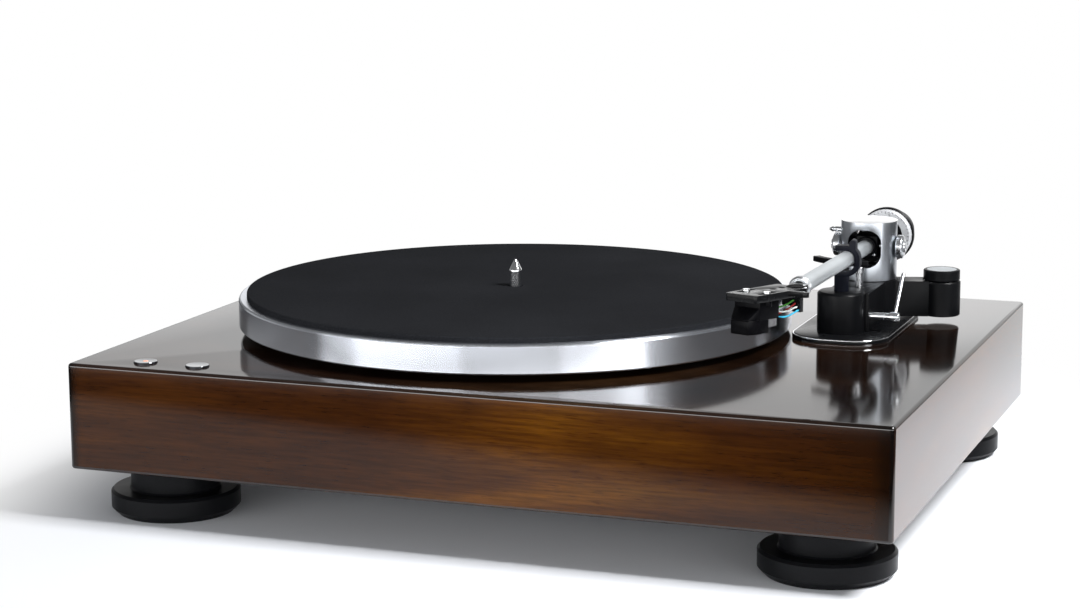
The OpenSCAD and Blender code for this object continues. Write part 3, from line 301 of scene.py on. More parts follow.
soft_box("main_box", (0.95, -0.12, 1.2), (0, 0, 0), 0.42, 0.42, 31)
for name, low_box in LOW_BOXES.items():
    soft_box(name, (*low_box["place"], BOX_HEIGHT), RIM_AIM, low_box["width"], BOX_TALL, low_box["watts"])
soft_box("back_box", (0, 1.5, 0.27), (0.15, 0, 0.1), 0.75, 0.26, 0.44)

# %% [markdown]
# ## Helpers for materials
# A finish is more than one colour: paint has a fine tooth, metal has tool marks, wood has grain. All of
# the patterns here start from Object coordinates, which are metres in the shared frame, so a pattern has
# a real scale and stays on its piece when the piece moves. These small functions add one node each.

# %% Material helpers


def start_material(name, roughness, metallic=0.0):
    material = bpy.data.materials.new(name)
    material.use_nodes = True
    tree = material.node_tree
    shader = tree.nodes["Principled BSDF"]
    shader.inputs["Roughness"].default_value = roughness
    shader.inputs["Metallic"].default_value = metallic
    return material, tree, shader


def stretched(tree, scale, vector=None, turn=(0, 0, 0)):
    """Object coordinates, or a given vector, turned by degrees and stretched along the axes."""
    mapping = tree.nodes.new("ShaderNodeMapping")
    mapping.inputs["Scale"].default_value = scale
    mapping.inputs["Rotation"].default_value = [math.radians(angle) for angle in turn]
    if vector is None:
        vector = tree.nodes.new("ShaderNodeTexCoord").outputs["Object"]
    tree.links.new(vector, mapping.inputs["Vector"])
    return mapping.outputs["Vector"]


def noise(tree, vector, scale=1.0, detail=4.0, roughness=0.5, distortion=0.0):
    texture = tree.nodes.new("ShaderNodeTexNoise")
    texture.inputs["Scale"].default_value = scale
    texture.inputs["Detail"].default_value = detail
    texture.inputs["Roughness"].default_value = roughness
    texture.inputs["Distortion"].default_value = distortion
    tree.links.new(vector, texture.inputs["Vector"])
    return texture.outputs["Fac"]


def blended(tree, factor, stops):
    """Colours along a ramp, as (place, red, green, blue)."""
    ramp = tree.nodes.new("ShaderNodeValToRGB")
    elements = ramp.color_ramp.elements
    while len(elements) < len(stops):
        elements.new(0.5)
    for element, stop in zip(elements, stops):
        element.position = stop[0]
        element.color = (*stop[1:], 1)
    tree.links.new(factor, ramp.inputs["Fac"])
    return ramp.outputs["Color"]


def ranged(tree, factor, low, high, start=0.3, end=0.7):
    """A number that runs from low to high while the factor runs from start to end."""
    node = tree.nodes.new("ShaderNodeMapRange")
    node.inputs["From Min"].default_value = start
    node.inputs["From Max"].default_value = end
    node.inputs["To Min"].default_value = low
    node.inputs["To Max"].default_value = high
    tree.links.new(factor, node.inputs["Value"])
    return node.outputs[0]


def tinted(tree, base, over, factor):
    """A colour multiplied by another, as far as a factor says."""
    mix = tree.nodes.new("ShaderNodeMix")
    mix.data_type = "RGBA"
    mix.blend_type = "MULTIPLY"
    tree.links.new(base, mix.inputs["A"])
    tree.links.new(over, mix.inputs["B"])
    tree.links.new(factor, mix.inputs["Factor"])
    return mix.outputs["Result"]


def raised(tree, shader, height, distance, strength=1.0):
    bump = tree.nodes.new("ShaderNodeBump")
    bump.inputs["Distance"].default_value = distance
    bump.inputs["Strength"].default_value = strength
    tree.links.new(height, bump.inputs["Height"])
    tree.links.new(bump.outputs["Normal"], shader.inputs["Normal"])


print("material helpers are ready")

# %% [markdown]
# ## Lacquered walnut
# The plinth is veneered in dark walnut under a thick clear lacquer. The grain runs along each board, so
# the coordinates are turned on the two short sides. Four noises at four scales make it: broad golden and
# dark bands, large patches, fine fibres, and short dark pores. A last tint runs along the board: its middle
# is more golden, its two ends are nearly black where the boards meet, and towards its right end (the back
# end on the two sides) it is darker, which is painted shade. The lacquer is the shader's coat, smooth and
# clear over the rougher wood, and it is the coat that mirrors the room on the deck. The deck's veneer is
# painted darker than the front's, as painted shade, and the front is rubbed less glossy, so there are three
# panels, and a fourth, dark one for the eased edges, whose darkness is painted shade as well.

# %% Walnut material
SIDE_FACING = 0.75
BOARD_HALF = 0.22
FIGURE_STOPS = (0.34, 0.46, 0.56, 0.68)
FIBRE_TINT = [(0.36, 0.64, 0.6, 0.56), (0.62, 1.24, 1.22, 1.17)]
PORE_TINT = [(0.3, 0.5, 0.45, 0.42), (0.4, 1, 1, 1)]
PATCH_TINT = [(0.35, 0.72, 0.68, 0.68), (0.65, 1.15, 1.13, 1.05)]
# The tint along the board: golden in the middle, nearly black at the two ends where the boards meet, and
# darker towards the plus X end as painted shade.
BOARD_TINT_AND_SHADE = [(0.011, 0.08, 0.09, 0.12), (0.021, 1, 1, 1.1), (0.4, 1, 1, 1), (0.6, 1.42, 1.55, 1.25),
              (0.8, 0.58, 0.54, 0.5), (0.97, 0.26, 0.23, 0.21), (0.983, 0.06, 0.06, 0.07)]


def along_the_board(tree):
    """Coordinates whose first axis follows the board on every face of the plinth."""
    place = tree.nodes.new("ShaderNodeTexCoord")
    split = tree.nodes.new("ShaderNodeSeparateXYZ")
    swapped = tree.nodes.new("ShaderNodeCombineXYZ")
    side = tree.nodes.new("ShaderNodeSeparateXYZ")
    size = tree.nodes.new("ShaderNodeMath")
    size.operation = "ABSOLUTE"
    is_side = tree.nodes.new("ShaderNodeMath")
    is_side.operation = "GREATER_THAN"
    is_side.inputs[1].default_value = SIDE_FACING
    choose = tree.nodes.new("ShaderNodeMix")
    choose.data_type = "VECTOR"
    tree.links.new(place.outputs["Object"], split.inputs[0])
    tree.links.new(split.outputs["Y"], swapped.inputs["X"])
    tree.links.new(split.outputs["X"], swapped.inputs["Y"])
    tree.links.new(split.outputs["Z"], swapped.inputs["Z"])
    tree.links.new(place.outputs["Normal"], side.inputs[0])
    tree.links.new(side.outputs["X"], size.inputs[0])
    tree.links.new(size.outputs[0], is_side.inputs[0])
    tree.links.new(is_side.outputs[0], choose.inputs["Factor"])
    tree.links.new(place.outputs["Object"], choose.inputs["A"])
    tree.links.new(swapped.outputs[0], choose.inputs["B"])
    return choose.outputs["Result"]


def lacquered_walnut(name, colours, lacquer_index, lacquer_blur=0.055):
    """Veneer under lacquer; the colours go from its dark bands to its golden ones."""
    material, tree, shader = start_material(name, 0.45)
    board = along_the_board(tree)
    leaning = stretched(tree, (1, 1, 1), board, (0, 2.5, 1.5))
    figure = noise(tree, stretched(tree, (3.6, 30, 30), leaning), 1, 3, 0.5, 0.8)
    fibres = noise(tree, stretched(tree, (32, 600, 600), board), 1, 4, 0.6)
    pores = noise(tree, stretched(tree, (90, 1500, 1500), board), 1, 2)
    patches = noise(tree, stretched(tree, (4.5, 14, 14), board), 1, 2)
    wood = blended(tree, figure, [(stop, *colour) for stop, colour in zip(FIGURE_STOPS, colours)])
    axes = tree.nodes.new("ShaderNodeSeparateXYZ")
    tree.links.new(board, axes.inputs[0])
    # How far along the board a point lies; the tint along it carries painted shade towards the plus X end.
    along = ranged(tree, axes.outputs["X"], 0, 1, -BOARD_HALF, BOARD_HALF)
    even = ranged(tree, fibres, 0.85, 1.0)
    for factor, tint in ((fibres, FIBRE_TINT), (pores, PORE_TINT), (patches, PATCH_TINT),
                         (along, BOARD_TINT_AND_SHADE)):
        wood = tinted(tree, wood, blended(tree, factor, tint), even)
    tree.links.new(wood, shader.inputs["Base Color"])
    tree.links.new(ranged(tree, fibres, 0.4, 0.55), shader.inputs["Roughness"])
    shader.inputs["Specular IOR Level"].default_value = 0
    shader.inputs["Coat Weight"].default_value = 1
    shader.inputs["Coat Roughness"].default_value = lacquer_blur
    shader.inputs["Coat IOR"].default_value = lacquer_index
    raised(tree, shader, fibres, 0.02 * mm, 0.25)
    return material


WARM_VENEER = [(0.034, 0.01, 0.0013), (0.047, 0.0145, 0.0016), (0.066, 0.022, 0.0019),
               (0.1, 0.038, 0.003)]
# A darker veneer for the deck and the eased edges, as painted shade.
SHADED_VENEER = [(0.012, 0.006, 0.004), (0.018, 0.0085, 0.0052), (0.025, 0.012, 0.007), (0.036, 0.018, 0.01)]
front_walnut = lacquered_walnut("walnut_front", WARM_VENEER, 1.36, 0.1)
side_walnut = lacquered_walnut("walnut_side", WARM_VENEER, 1.82)
# The deck and edge panels use the darker veneer, which is painted shade.
deck_walnut = lacquered_walnut("walnut_deck", SHADED_VENEER, 1.52, 0.085)
edge_walnut = lacquered_walnut("walnut_edge", SHADED_VENEER, 1.6)
print("made", front_walnut.name, side_walnut.name, deck_walnut.name, edge_walnut.name)

# %% [markdown]
# ## Metals
# The platter's rim and the tower are turned: a fine tool leaves rings that blur a reflection up and
# down. The arm tube is bead blasted, so it is evenly soft. Chrome is smooth and only slightly uneven.
# All are metallic shaders with a little variation in roughness and a fine bump along the tool's way.

# %% Metal materials


def turned_metal(name, colour, roughness, line_scale, depth, drawn_out=0.0):
    """Metal with fine level rings, as a lathe leaves them on an upright piece."""
    material, tree, shader = start_material(name, roughness, 1)
    lines = noise(tree, stretched(tree, (3, 3, line_scale)), 1, 3, 0.6)
    cloud = noise(tree, stretched(tree, (18, 18, 18)), 1, 3)
    dark = tuple(0.94 * c for c in colour)
    tree.links.new(blended(tree, cloud, [(0.35, *dark), (0.65, *colour)]), shader.inputs["Base Color"])
    tree.links.new(ranged(tree, cloud, roughness * 0.94, roughness * 1.06), shader.inputs["Roughness"])
    raised(tree, shader, lines, depth, 0.4)
    tangent = tree.nodes.new("ShaderNodeTangent")
    tangent.direction_type = "RADIAL"
    tangent.axis = "Z"
    tree.links.new(tangent.outputs[0], shader.inputs["Tangent"])
    shader.inputs["Anisotropic"].default_value = drawn_out
    shader.inputs["Anisotropic Rotation"].default_value = 0.25
    return material


def blasted_metal(name, colour, roughness, grain, depth=0.005 * mm):
    """Metal with an even, fine grain."""
    material, tree, shader = start_material(name, roughness, 1)
    tooth = noise(tree, stretched(tree, (grain, grain, grain)), 1, 3)
    cloud = noise(tree, stretched(tree, (30, 30, 30)), 1, 2)
    dark = tuple(0.92 * c for c in colour)
    tree.links.new(blended(tree, cloud, [(0.3, *dark), (0.7, *colour)]), shader.inputs["Base Color"])
    tree.links.new(ranged(tree, cloud, roughness * 0.85, roughness * 1.15), shader.inputs["Roughness"])
    raised(tree, shader, tooth, depth, 0.3)
    return material


rim_metal = turned_metal("turned_aluminium", (0.81, 0.845, 0.915), 0.26, 2500, 0.0002 * mm, 0.94)
tower_metal = turned_metal("satin_tower_aluminium", (0.52, 0.55, 0.59), 0.32, 7000, 0.002 * mm, 0.5)
# Brighter metal for the tower's top face, as a painted highlight.
tower_top_highlight = blasted_metal("tower_top_highlight_aluminium", (0.97, 0.97, 0.98), 0.2, 5000)
tube_metal = blasted_metal("blasted_tube_aluminium", (0.78, 0.82, 0.845), 0.5, 6000)
bright_satin = blasted_metal("bright_satin_metal", (0.82, 0.84, 0.87), 0.28, 4000)
chrome = blasted_metal("polished_chrome", (0.86, 0.87, 0.89), 0.07, 2500, 0.0005 * mm)
spindle_metal = blasted_metal("spindle_bright", (0.86, 0.87, 0.89), 0.16, 2500, 0.0005 * mm)
steel = blasted_metal("plain_steel", (0.52, 0.53, 0.55), 0.33, 3000)
bronze = turned_metal("turned_bronze", (0.58, 0.4, 0.18), 0.3, 6000, 0.004 * mm)
gilt = turned_metal("gilt_brass", (0.86, 0.66, 0.3), 0.18, 6000, 0.003 * mm)
print("made", len(bpy.data.materials), "materials so far")

# %% [markdown]
# ## Blacks
# Many kinds of black stand side by side: satin paint on the arm's base, moulded plastic on the cue bar and
# the sockets, a bluer one on the rest's clip, satin black on the feet, painted shade under the platter,
# soft rubber on the belt, and the mat's dull felted surface. They differ in gloss and in the size of their
# grain, and a flat black for all of them would make one lump.

# %% Black materials


def black_coat(name, colour, roughness, grain, depth, gloss=0.22):
    """A dark surface with a fine tooth and faint uneven gloss."""
    material, tree, shader = start_material(name, roughness)
    shader.inputs["Specular IOR Level"].default_value = gloss
    tooth = noise(tree, stretched(tree, (grain, grain, grain)), 1, 4)
    cloud = noise(tree, stretched(tree, (45, 45, 45)), 1, 3)
    pale = tuple(1.6 * c for c in colour)
    dark = tuple(0.75 * c for c in colour)
    tree.links.new(blended(tree, tooth, [(0.3, *dark), (0.7, *pale)]), shader.inputs["Base Color"])
    tree.links.new(ranged(tree, cloud, roughness * 0.85, roughness * 1.15), shader.inputs["Roughness"])
    raised(tree, shader, tooth, depth, 0.4)
    return material


satin_paint = black_coat("satin_black_paint", (0.0036, 0.0038, 0.0044), 0.33, 2600, 0.015 * mm, 0.09)
moulded_black = black_coat("moulded_black", (0.0036, 0.0036, 0.0044), 0.4, 3200, 0.02 * mm, 0.09)
clip_black = black_coat("clip_blue_black", (0.0042, 0.005, 0.009), 0.38, 3200, 0.02 * mm, 0.12)
foot_black = black_coat("satin_foot_black", (0.0038, 0.004, 0.0047), 0.36, 2200, 0.02 * mm, 0.1)
# Painted shade for the platter's underside.
underside_shade = black_coat("painted_shade_underside", (0.006, 0.006, 0.0065), 0.6, 1800, 0.03 * mm, 0.1)
soft_black = black_coat("soft_rubber", (0.012, 0.012, 0.012), 0.75, 1500, 0.04 * mm)
board_dark = black_coat("dark_fibreboard", (0.045, 0.036, 0.03), 0.8, 700, 0.08 * mm)
board_green = black_coat("circuit_board", (0.02, 0.10, 0.05), 0.4, 900, 0.02 * mm)


def felted_mat():
    material, tree, shader = start_material("felted_mat", 0.95)
    fluff = noise(tree, stretched(tree, (1300, 1300, 1300)), 1, 5, 0.7)
    cloud = noise(tree, stretched(tree, (14, 14, 14)), 1, 4)
    tone = blended(tree, fluff, [(0.3, 0.0085, 0.009, 0.0105), (0.7, 0.022, 0.023, 0.026)])
    shade = blended(tree, cloud, [(0.35, 0.85, 0.85, 0.85), (0.65, 1.1, 1.1, 1.1)])
    tree.links.new(tinted(tree, tone, shade, ranged(tree, cloud, 0.9, 1)), shader.inputs["Base Color"])
    shader.inputs["Specular IOR Level"].default_value = 0.02
    raised(tree, shader, fluff, 0.12 * mm, 0.7)
    return material


mat_felt = felted_mat()
print("made", len(bpy.data.materials), "materials so far")

# %% [markdown]
# ## Helpers for pieces
# Most of the player is turned on a lathe or milled from a bar. A turned piece is a short outline that is
# spun round. A milled piece starts from its own solid: the copy is merged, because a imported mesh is
# loose triangles, its flat faces are joined, and then its sharp edges are bevelled. A real edge is never
# perfectly sharp, and the thin bright line on a bevel is what makes a small part look solid. Each piece
# then goes on its body with a slot for its finish, and names the solids that it stands for.

# %% Piece helpers
HOLD = 0.15 * mm
WELD = 0.0002 * mm
COPY_WELD = 0.001 * mm
FLAT_ANGLE = math.radians(0.5)


def box_in(node, place):
    """The lowest and highest corner of a node, measured in a frame of its own."""
    inverse = place.inverted()
    points = [inverse @ vertex.co for vertex in frame["nodes"][node].data.vertices]
    low = Vector([min(point[axis] for point in points) for axis in range(3)])
    high = Vector([max(point[axis] for point in points) for axis in range(3)])
    return low, high


def held(outline, closed):
    """Adds a point close to each corner, so that smooth shading leaves the long faces flat."""
    ends = outline[1:] + outline[:1] if closed else outline[1:]
    points = []
    for start, end in zip(map(Vector, outline), map(Vector, ends)):
        points.append(start)
        run = end - start
        if run.length > 4 * HOLD:
            points += [start + run.normalized() * HOLD, end - run.normalized() * HOLD]
    if not closed:
        points.append(Vector(outline[-1]))
    return points


def turned(outline, steps=96, closed=False):
    """Spins an outline of (radius, height) points round Z."""
    bm = bmesh.new()
    corners = [bm.verts.new((radius, 0, height)) for radius, height in held(outline, closed)]
    pairs = list(zip(corners, corners[1:]))
    if closed:
        pairs.append((corners[-1], corners[0]))
    edges = [bm.edges.new(pair) for pair in pairs]
    bmesh.ops.spin(bm, geom=corners + edges, cent=(0, 0, 0), axis=(0, 0, 1), angle=math.tau, steps=steps,
                   use_merge=True)
    tidy_mesh(bm)
    return bm


def tidy_mesh(bm):
    bmesh.ops.remove_doubles(bm, verts=bm.verts[:], dist=WELD)
    bmesh.ops.recalc_face_normals(bm, faces=bm.faces[:])


def soften(bm, width, segments=2, sharper_than=32):
    """Bevels every edge whose faces turn by more than an angle."""
    limit = math.radians(sharper_than)
    sharp = [e for e in bm.edges if len(e.link_faces) == 2 and e.calc_face_angle(0) > limit]
    bmesh.ops.bevel(bm, geom=sharp, offset=width, affect="EDGES", segments=segments, profile=0.5,
                    material=-1, clamp_overlap=True)


def merged_copy(node):
    """A node's mesh with its triangles joined into flat faces."""
    bm = bmesh.new()
    bm.from_mesh(frame["nodes"][node].data)
    bmesh.ops.remove_doubles(bm, verts=bm.verts[:], dist=COPY_WELD)
    bmesh.ops.dissolve_limit(bm, angle_limit=FLAT_ANGLE, verts=bm.verts[:], edges=bm.edges[:])
    return bm


def joined_into(bm, other):
    """Adds another shape to a bmesh and frees it."""
    carrier = bpy.data.meshes.new("carrier")
    other.to_mesh(carrier)
    other.free()
    bm.from_mesh(carrier)
    bpy.data.meshes.remove(carrier)


def block(bm, low, high):
    """Adds a box between two corners and returns its corners."""
    low, high = Vector(low), Vector(high)
    size = high - low
    place = Matrix.Translation((low + high) / 2) @ Matrix.Diagonal((*size, 1))
    return bmesh.ops.create_cube(bm, size=1, matrix=place)["verts"]


def piece(bm, name, material, body, replaced=(), smooth_below=38):
    """Makes the object, shades it smooth up to an angle, and puts it on its body."""
    mesh = bpy.data.meshes.new(name)
    bm.to_mesh(mesh)
    bm.free()
    mesh.materials.append(material)
    mesh.shade_smooth()
    mesh.set_sharp_from_angle(angle=math.radians(smooth_below))
    made = bpy.data.objects.new(name, mesh)
    bpy.context.scene.collection.objects.link(made)
    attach(made, body)
    if replaced:
        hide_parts(*replaced)
    print(name, "has", len(mesh.polygons), "faces on", body)
    return made


def milled(node, name, width, material, body, segments=2):
    """A node's own shape with softened edges, in place of the node."""
    bm = merged_copy(node)
    soften(bm, width, segments)
    return piece(bm, name, material, body, [node])


def at_axis(node):
    """The upright axis of a round node, as a matrix at height zero."""
    low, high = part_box(node)
    middle = (low + high) / 2
    return Matrix.Translation((middle.x, middle.y, 0))


TO_Y = Matrix.Rotation(math.radians(-90), 4, "X")
TO_X = Matrix.Rotation(math.radians(90), 4, "Y")
print("piece helpers are ready")

# %% [markdown]
# ## Plinth
# The plinth is one box of veneered board with holes for the bearing, the motor, the arm and the buttons.
# Its outer edges are eased by hand before the lacquer goes on, so they catch a line of light. The copy of
# the solid already has every hole; only the edges that lie on the outside of the box are bevelled, and
# the holes stay crisp. Then each face gets the veneer of its panel: deck, side, front or edge.

# %% Plinth with eased edges
EASED = 1.7 * mm
OUTSIDE = 3 * mm
ON_FACE = 0.1 * mm
SHARP_TURN = 1
SQUARE = 0.995
UPWARD = 0.6
SIDEWAYS = 0.7
DECK, SIDE, EDGE = 1, 2, 3


def plinth_case():
    low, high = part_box("plinth_shell")
    bm = merged_copy("plinth_shell")

    def outside(edge):
        at_top = all(v.co.z > high.z - ON_FACE for v in edge.verts)
        at_bottom = all(v.co.z < low.z + ON_FACE for v in edge.verts)
        middle = (edge.verts[0].co + edge.verts[1].co) / 2
        at_side = abs(middle.x) > high.x - OUTSIDE or abs(middle.y) > high.y - OUTSIDE
        return (at_top or at_bottom) and at_side and edge.calc_face_angle(0) > SHARP_TURN

    rim = [edge for edge in bm.edges if len(edge.link_faces) == 2 and outside(edge)]
    bmesh.ops.bevel(bm, geom=rim, offset=EASED, affect="EDGES", segments=4, profile=0.5, material=-1,
                    clamp_overlap=True)
    # Deck and edge faces get the darker veneer, which is painted shade.
    for face in bm.faces:
        steepest = max(abs(part) for part in face.normal)
        if steepest < SQUARE:
            face.material_index = EDGE
        elif face.normal.z > UPWARD:
            face.material_index = DECK
        elif abs(face.normal.x) > SIDEWAYS:
            face.material_index = SIDE
    case = piece(bm, "plinth_case", front_walnut, "base", ["plinth_shell"], 25)
    for panel in (deck_walnut, side_walnut, edge_walnut):
        case.data.materials.append(panel)
    print("eased", len(rim), "edges of the plinth")


plinth_case()

# %% [markdown]
# ## Feet
# Each foot is a turned black disc under a narrower stem. The disc has a rounded shoulder, a chamfer
# underneath, and a thin groove above the pad that it stands on. One outline serves all four feet.

# %% Feet
STEM_SHARE = 47 / 68


def foot(corner):
    node = "foot_" + corner
    low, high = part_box(node)
    disc = (high.x - low.x) / 2
    stem = disc * STEM_SHARE
    shoulder = 13 * mm
    hole = 8.05 * mm
    bm = turned([
        (hole, 0), (disc - 3.5 * mm, 0), (disc - 2.5 * mm, 1.2 * mm), (disc - 2.5 * mm, 1.6 * mm),
        (disc - 1.6 * mm, 1.8 * mm), (disc, 3.6 * mm), (disc, shoulder - 1.4 * mm),
        (disc - 1.4 * mm, shoulder), (stem + 0.8 * mm, shoulder), (stem, shoulder + 0.8 * mm),
        (stem, high.z), (hole, high.z)
    ], 96, True)
    bm.transform(at_axis(node))
    piece(bm, node + "_turned", foot_black, "base", [node])


for corner in ("front_left", "front_right", "rear_left", "rear_right"):
    foot(corner)

# %% [markdown]
# ## Platter and mat
# The platter is cast and turned aluminium: a flat disc with a deep rim, and under it the ring that the
# belt runs on and the hub. The outline follows the solid, with a rounded upper and lower edge on the rim
# and a fine bead of light at the top. It is spun in many steps, because its edge is the longest curve in
# the picture. Its underside gets a dark second material, which is painted shade. The mat lies on it, a
# little smaller, with soft edges.

# %% Platter, mat and spindle
platter_axis = Vector(joints["platter_spin"]["pos_m"])
PLATTER_STEPS = 240
UNDERSIDE_INSET = 1 * mm
UNDERSIDE_TILT = 0.5


def platter_disc():
    low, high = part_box("platter")
    rim = (high.x - low.x) / 2
    bottom, top = low.z, high.z
    web = top - 5 * mm
    wall = rim - 10 * mm
    ring = 84 * mm
    ring_inside = ring - 5 * mm
    hub = 15 * mm
    bore = 5.05 * mm
    bm = turned([
        (bore, bottom), (hub, bottom), (hub, web), (ring_inside, web), (ring_inside, bottom),
        (ring, bottom), (ring, web), (wall, web), (wall, bottom),
        (rim - 0.7 * mm, bottom), (rim, bottom + 0.7 * mm),
        (rim, top - 1.3 * mm), (rim - 0.35 * mm, top - 0.5 * mm), (rim - 1.1 * mm, top), (bore, top)
    ], PLATTER_STEPS, True)
    bm.transform(Matrix.Translation((platter_axis.x, platter_axis.y, 0)))
    disc = piece(bm, "platter_disc", rim_metal, "platter", ["platter"], 50)
    # The underside's dark second material is painted shade.
    disc.data.materials.append(underside_shade)
    for face in disc.data.polygons:
        reach = math.hypot(face.center.x - platter_axis.x, face.center.y - platter_axis.y)
        if reach < rim - UNDERSIDE_INSET and face.normal.z < UNDERSIDE_TILT:
            face.material_index = 1


def mat_disc():
    low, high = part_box("platter_mat")
    edge = (high.x - low.x) / 2
    hole = 3.78 * mm
    bm = turned([
        (hole, low.z), (edge - 0.3 * mm, low.z), (edge, low.z + 0.4 * mm), (edge, high.z - 0.8 * mm),
        (edge - 0.25 * mm, high.z - 0.25 * mm), (edge - 0.8 * mm, high.z), (hole + 0.6 * mm, high.z),
        (hole, high.z - 0.4 * mm)
    ], PLATTER_STEPS, True)
    bm.transform(Matrix.Translation((platter_axis.x, platter_axis.y, 0)))
    piece(bm, "mat_disc", mat_felt, "platter", ["platter_mat"], 50)


def spindle_pin():
    low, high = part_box("spindle")
    shaft = (high.x - low.x) / 2
    pin = 3.58 * mm
    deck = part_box("platter")[1].z
    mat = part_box("platter_mat")[1].z
    cone = high.z - 5.5 * mm
    bm = turned([
        (0, low.z), (shaft, low.z), (shaft, deck), (3 * mm, deck), (3 * mm, mat), (pin, mat),
        (pin, cone - 1.3 * mm), (pin, cone - 0.9 * mm), (pin - 0.07 * mm, cone - 0.45 * mm),
        (pin - 0.25 * mm, cone), (pin - 0.45 * mm, cone + 0.4 * mm), (1.15 * mm, high.z - 1.1 * mm),
        (0.6 * mm, high.z - 0.25 * mm), (0, high.z)
    ], 64)
    bm.transform(Matrix.Translation((platter_axis.x, platter_axis.y, 0)))
    piece(bm, "spindle_pin", spindle_metal, "platter", ["spindle"], 25)


platter_disc()
mat_disc()
spindle_pin()

# %% [markdown]
# ## Push buttons
# Two chromed buttons sit in the deck at the front left: one for power, one for the speed. Each has a
# low wall of near-black metal, which is a painted dark reflection, a narrow rounded edge and a very
# slightly dished top. The power button carries a small warm lamp lens in its middle, which is a piece of
# its own that rides on the button.

# %% Buttons
CAP_DROP = 1.05 * mm
WALL_RISE = 0.5
button_chrome = blasted_metal("button_chrome", (0.6, 0.61, 0.63), 0.1, 2500, 0.0005 * mm)
# Near-black metal for the button walls, as a painted dark reflection.
painted_reflection_wall = blasted_metal("painted_reflection_wall", (0.045, 0.046, 0.05), 0.1, 2500, 0.0005 * mm)


def button_cap(node):
    low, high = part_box(node)
    rim = (high.x - low.x) / 2
    stem = 2.5 * mm
    skirt = high.z - 10 * mm
    face = high.z - CAP_DROP
    bm = turned([
        (0, low.z), (stem, low.z), (stem, skirt), (rim, skirt), (rim, face - 0.3 * mm),
        (rim - 0.04 * mm, face - 0.14 * mm), (rim - 0.14 * mm, face - 0.04 * mm), (rim - 0.3 * mm, face),
        (rim - 2.4 * mm, face - 0.12 * mm), (0, face - 0.2 * mm)
    ], 72)
    bm.transform(at_axis(node))
    cap = piece(bm, node + "_cap", button_chrome, node, [node], 35)
    cap.data.materials.append(painted_reflection_wall)
    # The walls get the near-black metal: a painted dark reflection.
    for polygon in cap.data.polygons:
        if abs(polygon.normal.z) < WALL_RISE:
            polygon.material_index = 1


def lamp_glass():
    material, tree, shader = start_material("warm_lamp", 0.25)
    glow = noise(tree, stretched(tree, (900, 900, 900)), 1, 2)
    tree.links.new(blended(tree, glow, [(0.3, 0.75, 0.3, 0.18), (0.7, 0.9, 0.45, 0.3)]),
                   shader.inputs["Base Color"])
    shader.inputs["Emission Color"].default_value = (1, 0.42, 0.25, 1)
    shader.inputs["Emission Strength"].default_value = 0.35
    return material


def power_lamp():
    lens = 1.7 * mm
    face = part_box("power_button")[1].z - CAP_DROP
    seat = face - 0.5 * mm
    bm = turned([(0, seat), (lens, seat), (lens, face - 0.2 * mm), (lens * 0.6, face - 0.06 * mm),
                 (0, face)], 32)
    bm.transform(at_axis("power_button"))
    piece(bm, "power_lamp", lamp_glass(), "power_button")


button_cap("power_button")
button_cap("speed_button")
power_lamp()

# %% [markdown]
# ## The arm's own frame
# The tonearm is parked a little outwards with its head raised, so none of its pieces lies along the
# frame's axes. Two joints give its direction: the pitch joint's axis runs across the arm, and the
# counterweight's screw axis runs back along it. From them comes a matrix in which the arm is straight,
# with the head along minus Y. Pieces are built there and then put in place. The tower shares the turn,
# but not the tilt.

# %% Arm, tower and head frames
HEAD_TURN = 24
pivot = Vector(joints["arm_pitch"]["pos_m"])
across = Vector(joints["arm_pitch"]["axis"]).normalized()
backwards = Vector(joints["weight_turn"]["axis"]).normalized()


def frame_from(across, backwards, place):
    up = across.cross(backwards)
    turn = Matrix((across, backwards, up)).transposed().to_4x4()
    return Matrix.Translation(place) @ turn


ARM = frame_from(across, backwards, pivot)
flat_back = Vector((backwards.x, backwards.y, 0)).normalized()
TOWER = frame_from(across, flat_back, pivot)
tube_low, tube_high = box_in("arm_tube", ARM)
HEAD = ARM @ Matrix.Translation((0, tube_low.y, 0)) @ Matrix.Rotation(math.radians(-HEAD_TURN), 4, "Z")
print("the tube reaches", round(-tube_low.y / mm, 1), "mm ahead of the pivot")

# %% [markdown]
# ## Arm base
# A black plate lies on the deck, and only the eased top of its edge is polished, as a bright line. On it
# stand the bridge that carries the tower, the round housing of the cue lift, and out on a wing the drum
# of the antiskating control. All are milled pieces with small eased edges, so their own solids are
# copied and bevelled.

# %% Base plate, bridge and housing
WALL_TILT = 0.1
plate_paint = black_coat("plate_black_paint", (0.0036, 0.0038, 0.0044), 0.28, 2600, 0.01 * mm, 0.13)
milled("arm_base_plate", "base_plate_eased", 0.5 * mm, plate_paint, "base")
plate_edge = milled("arm_base_trim", "base_plate_edge", 0.42 * mm, chrome, "base", 3)
plate_edge.data.materials.append(plate_paint)
for face in plate_edge.data.polygons:
    if abs(face.normal.z) < WALL_TILT:
        face.material_index = 1
milled("arm_bridge", "bridge_eased", 0.6 * mm, satin_paint, "base", 3)
milled("lift_housing", "lift_housing_eased", 0.35 * mm, satin_paint, "base")
milled("arm_rest", "rest_clip", 0.45 * mm, clip_black, "base", 3)

# %% [markdown]
# ## Antiskating drum
# The drum is a plain black cylinder with a turning knob on top. The knob has a rounded rim, a fine
# waist at the seam and a silver disc let into its top.

# %% Drum, knob and inlay


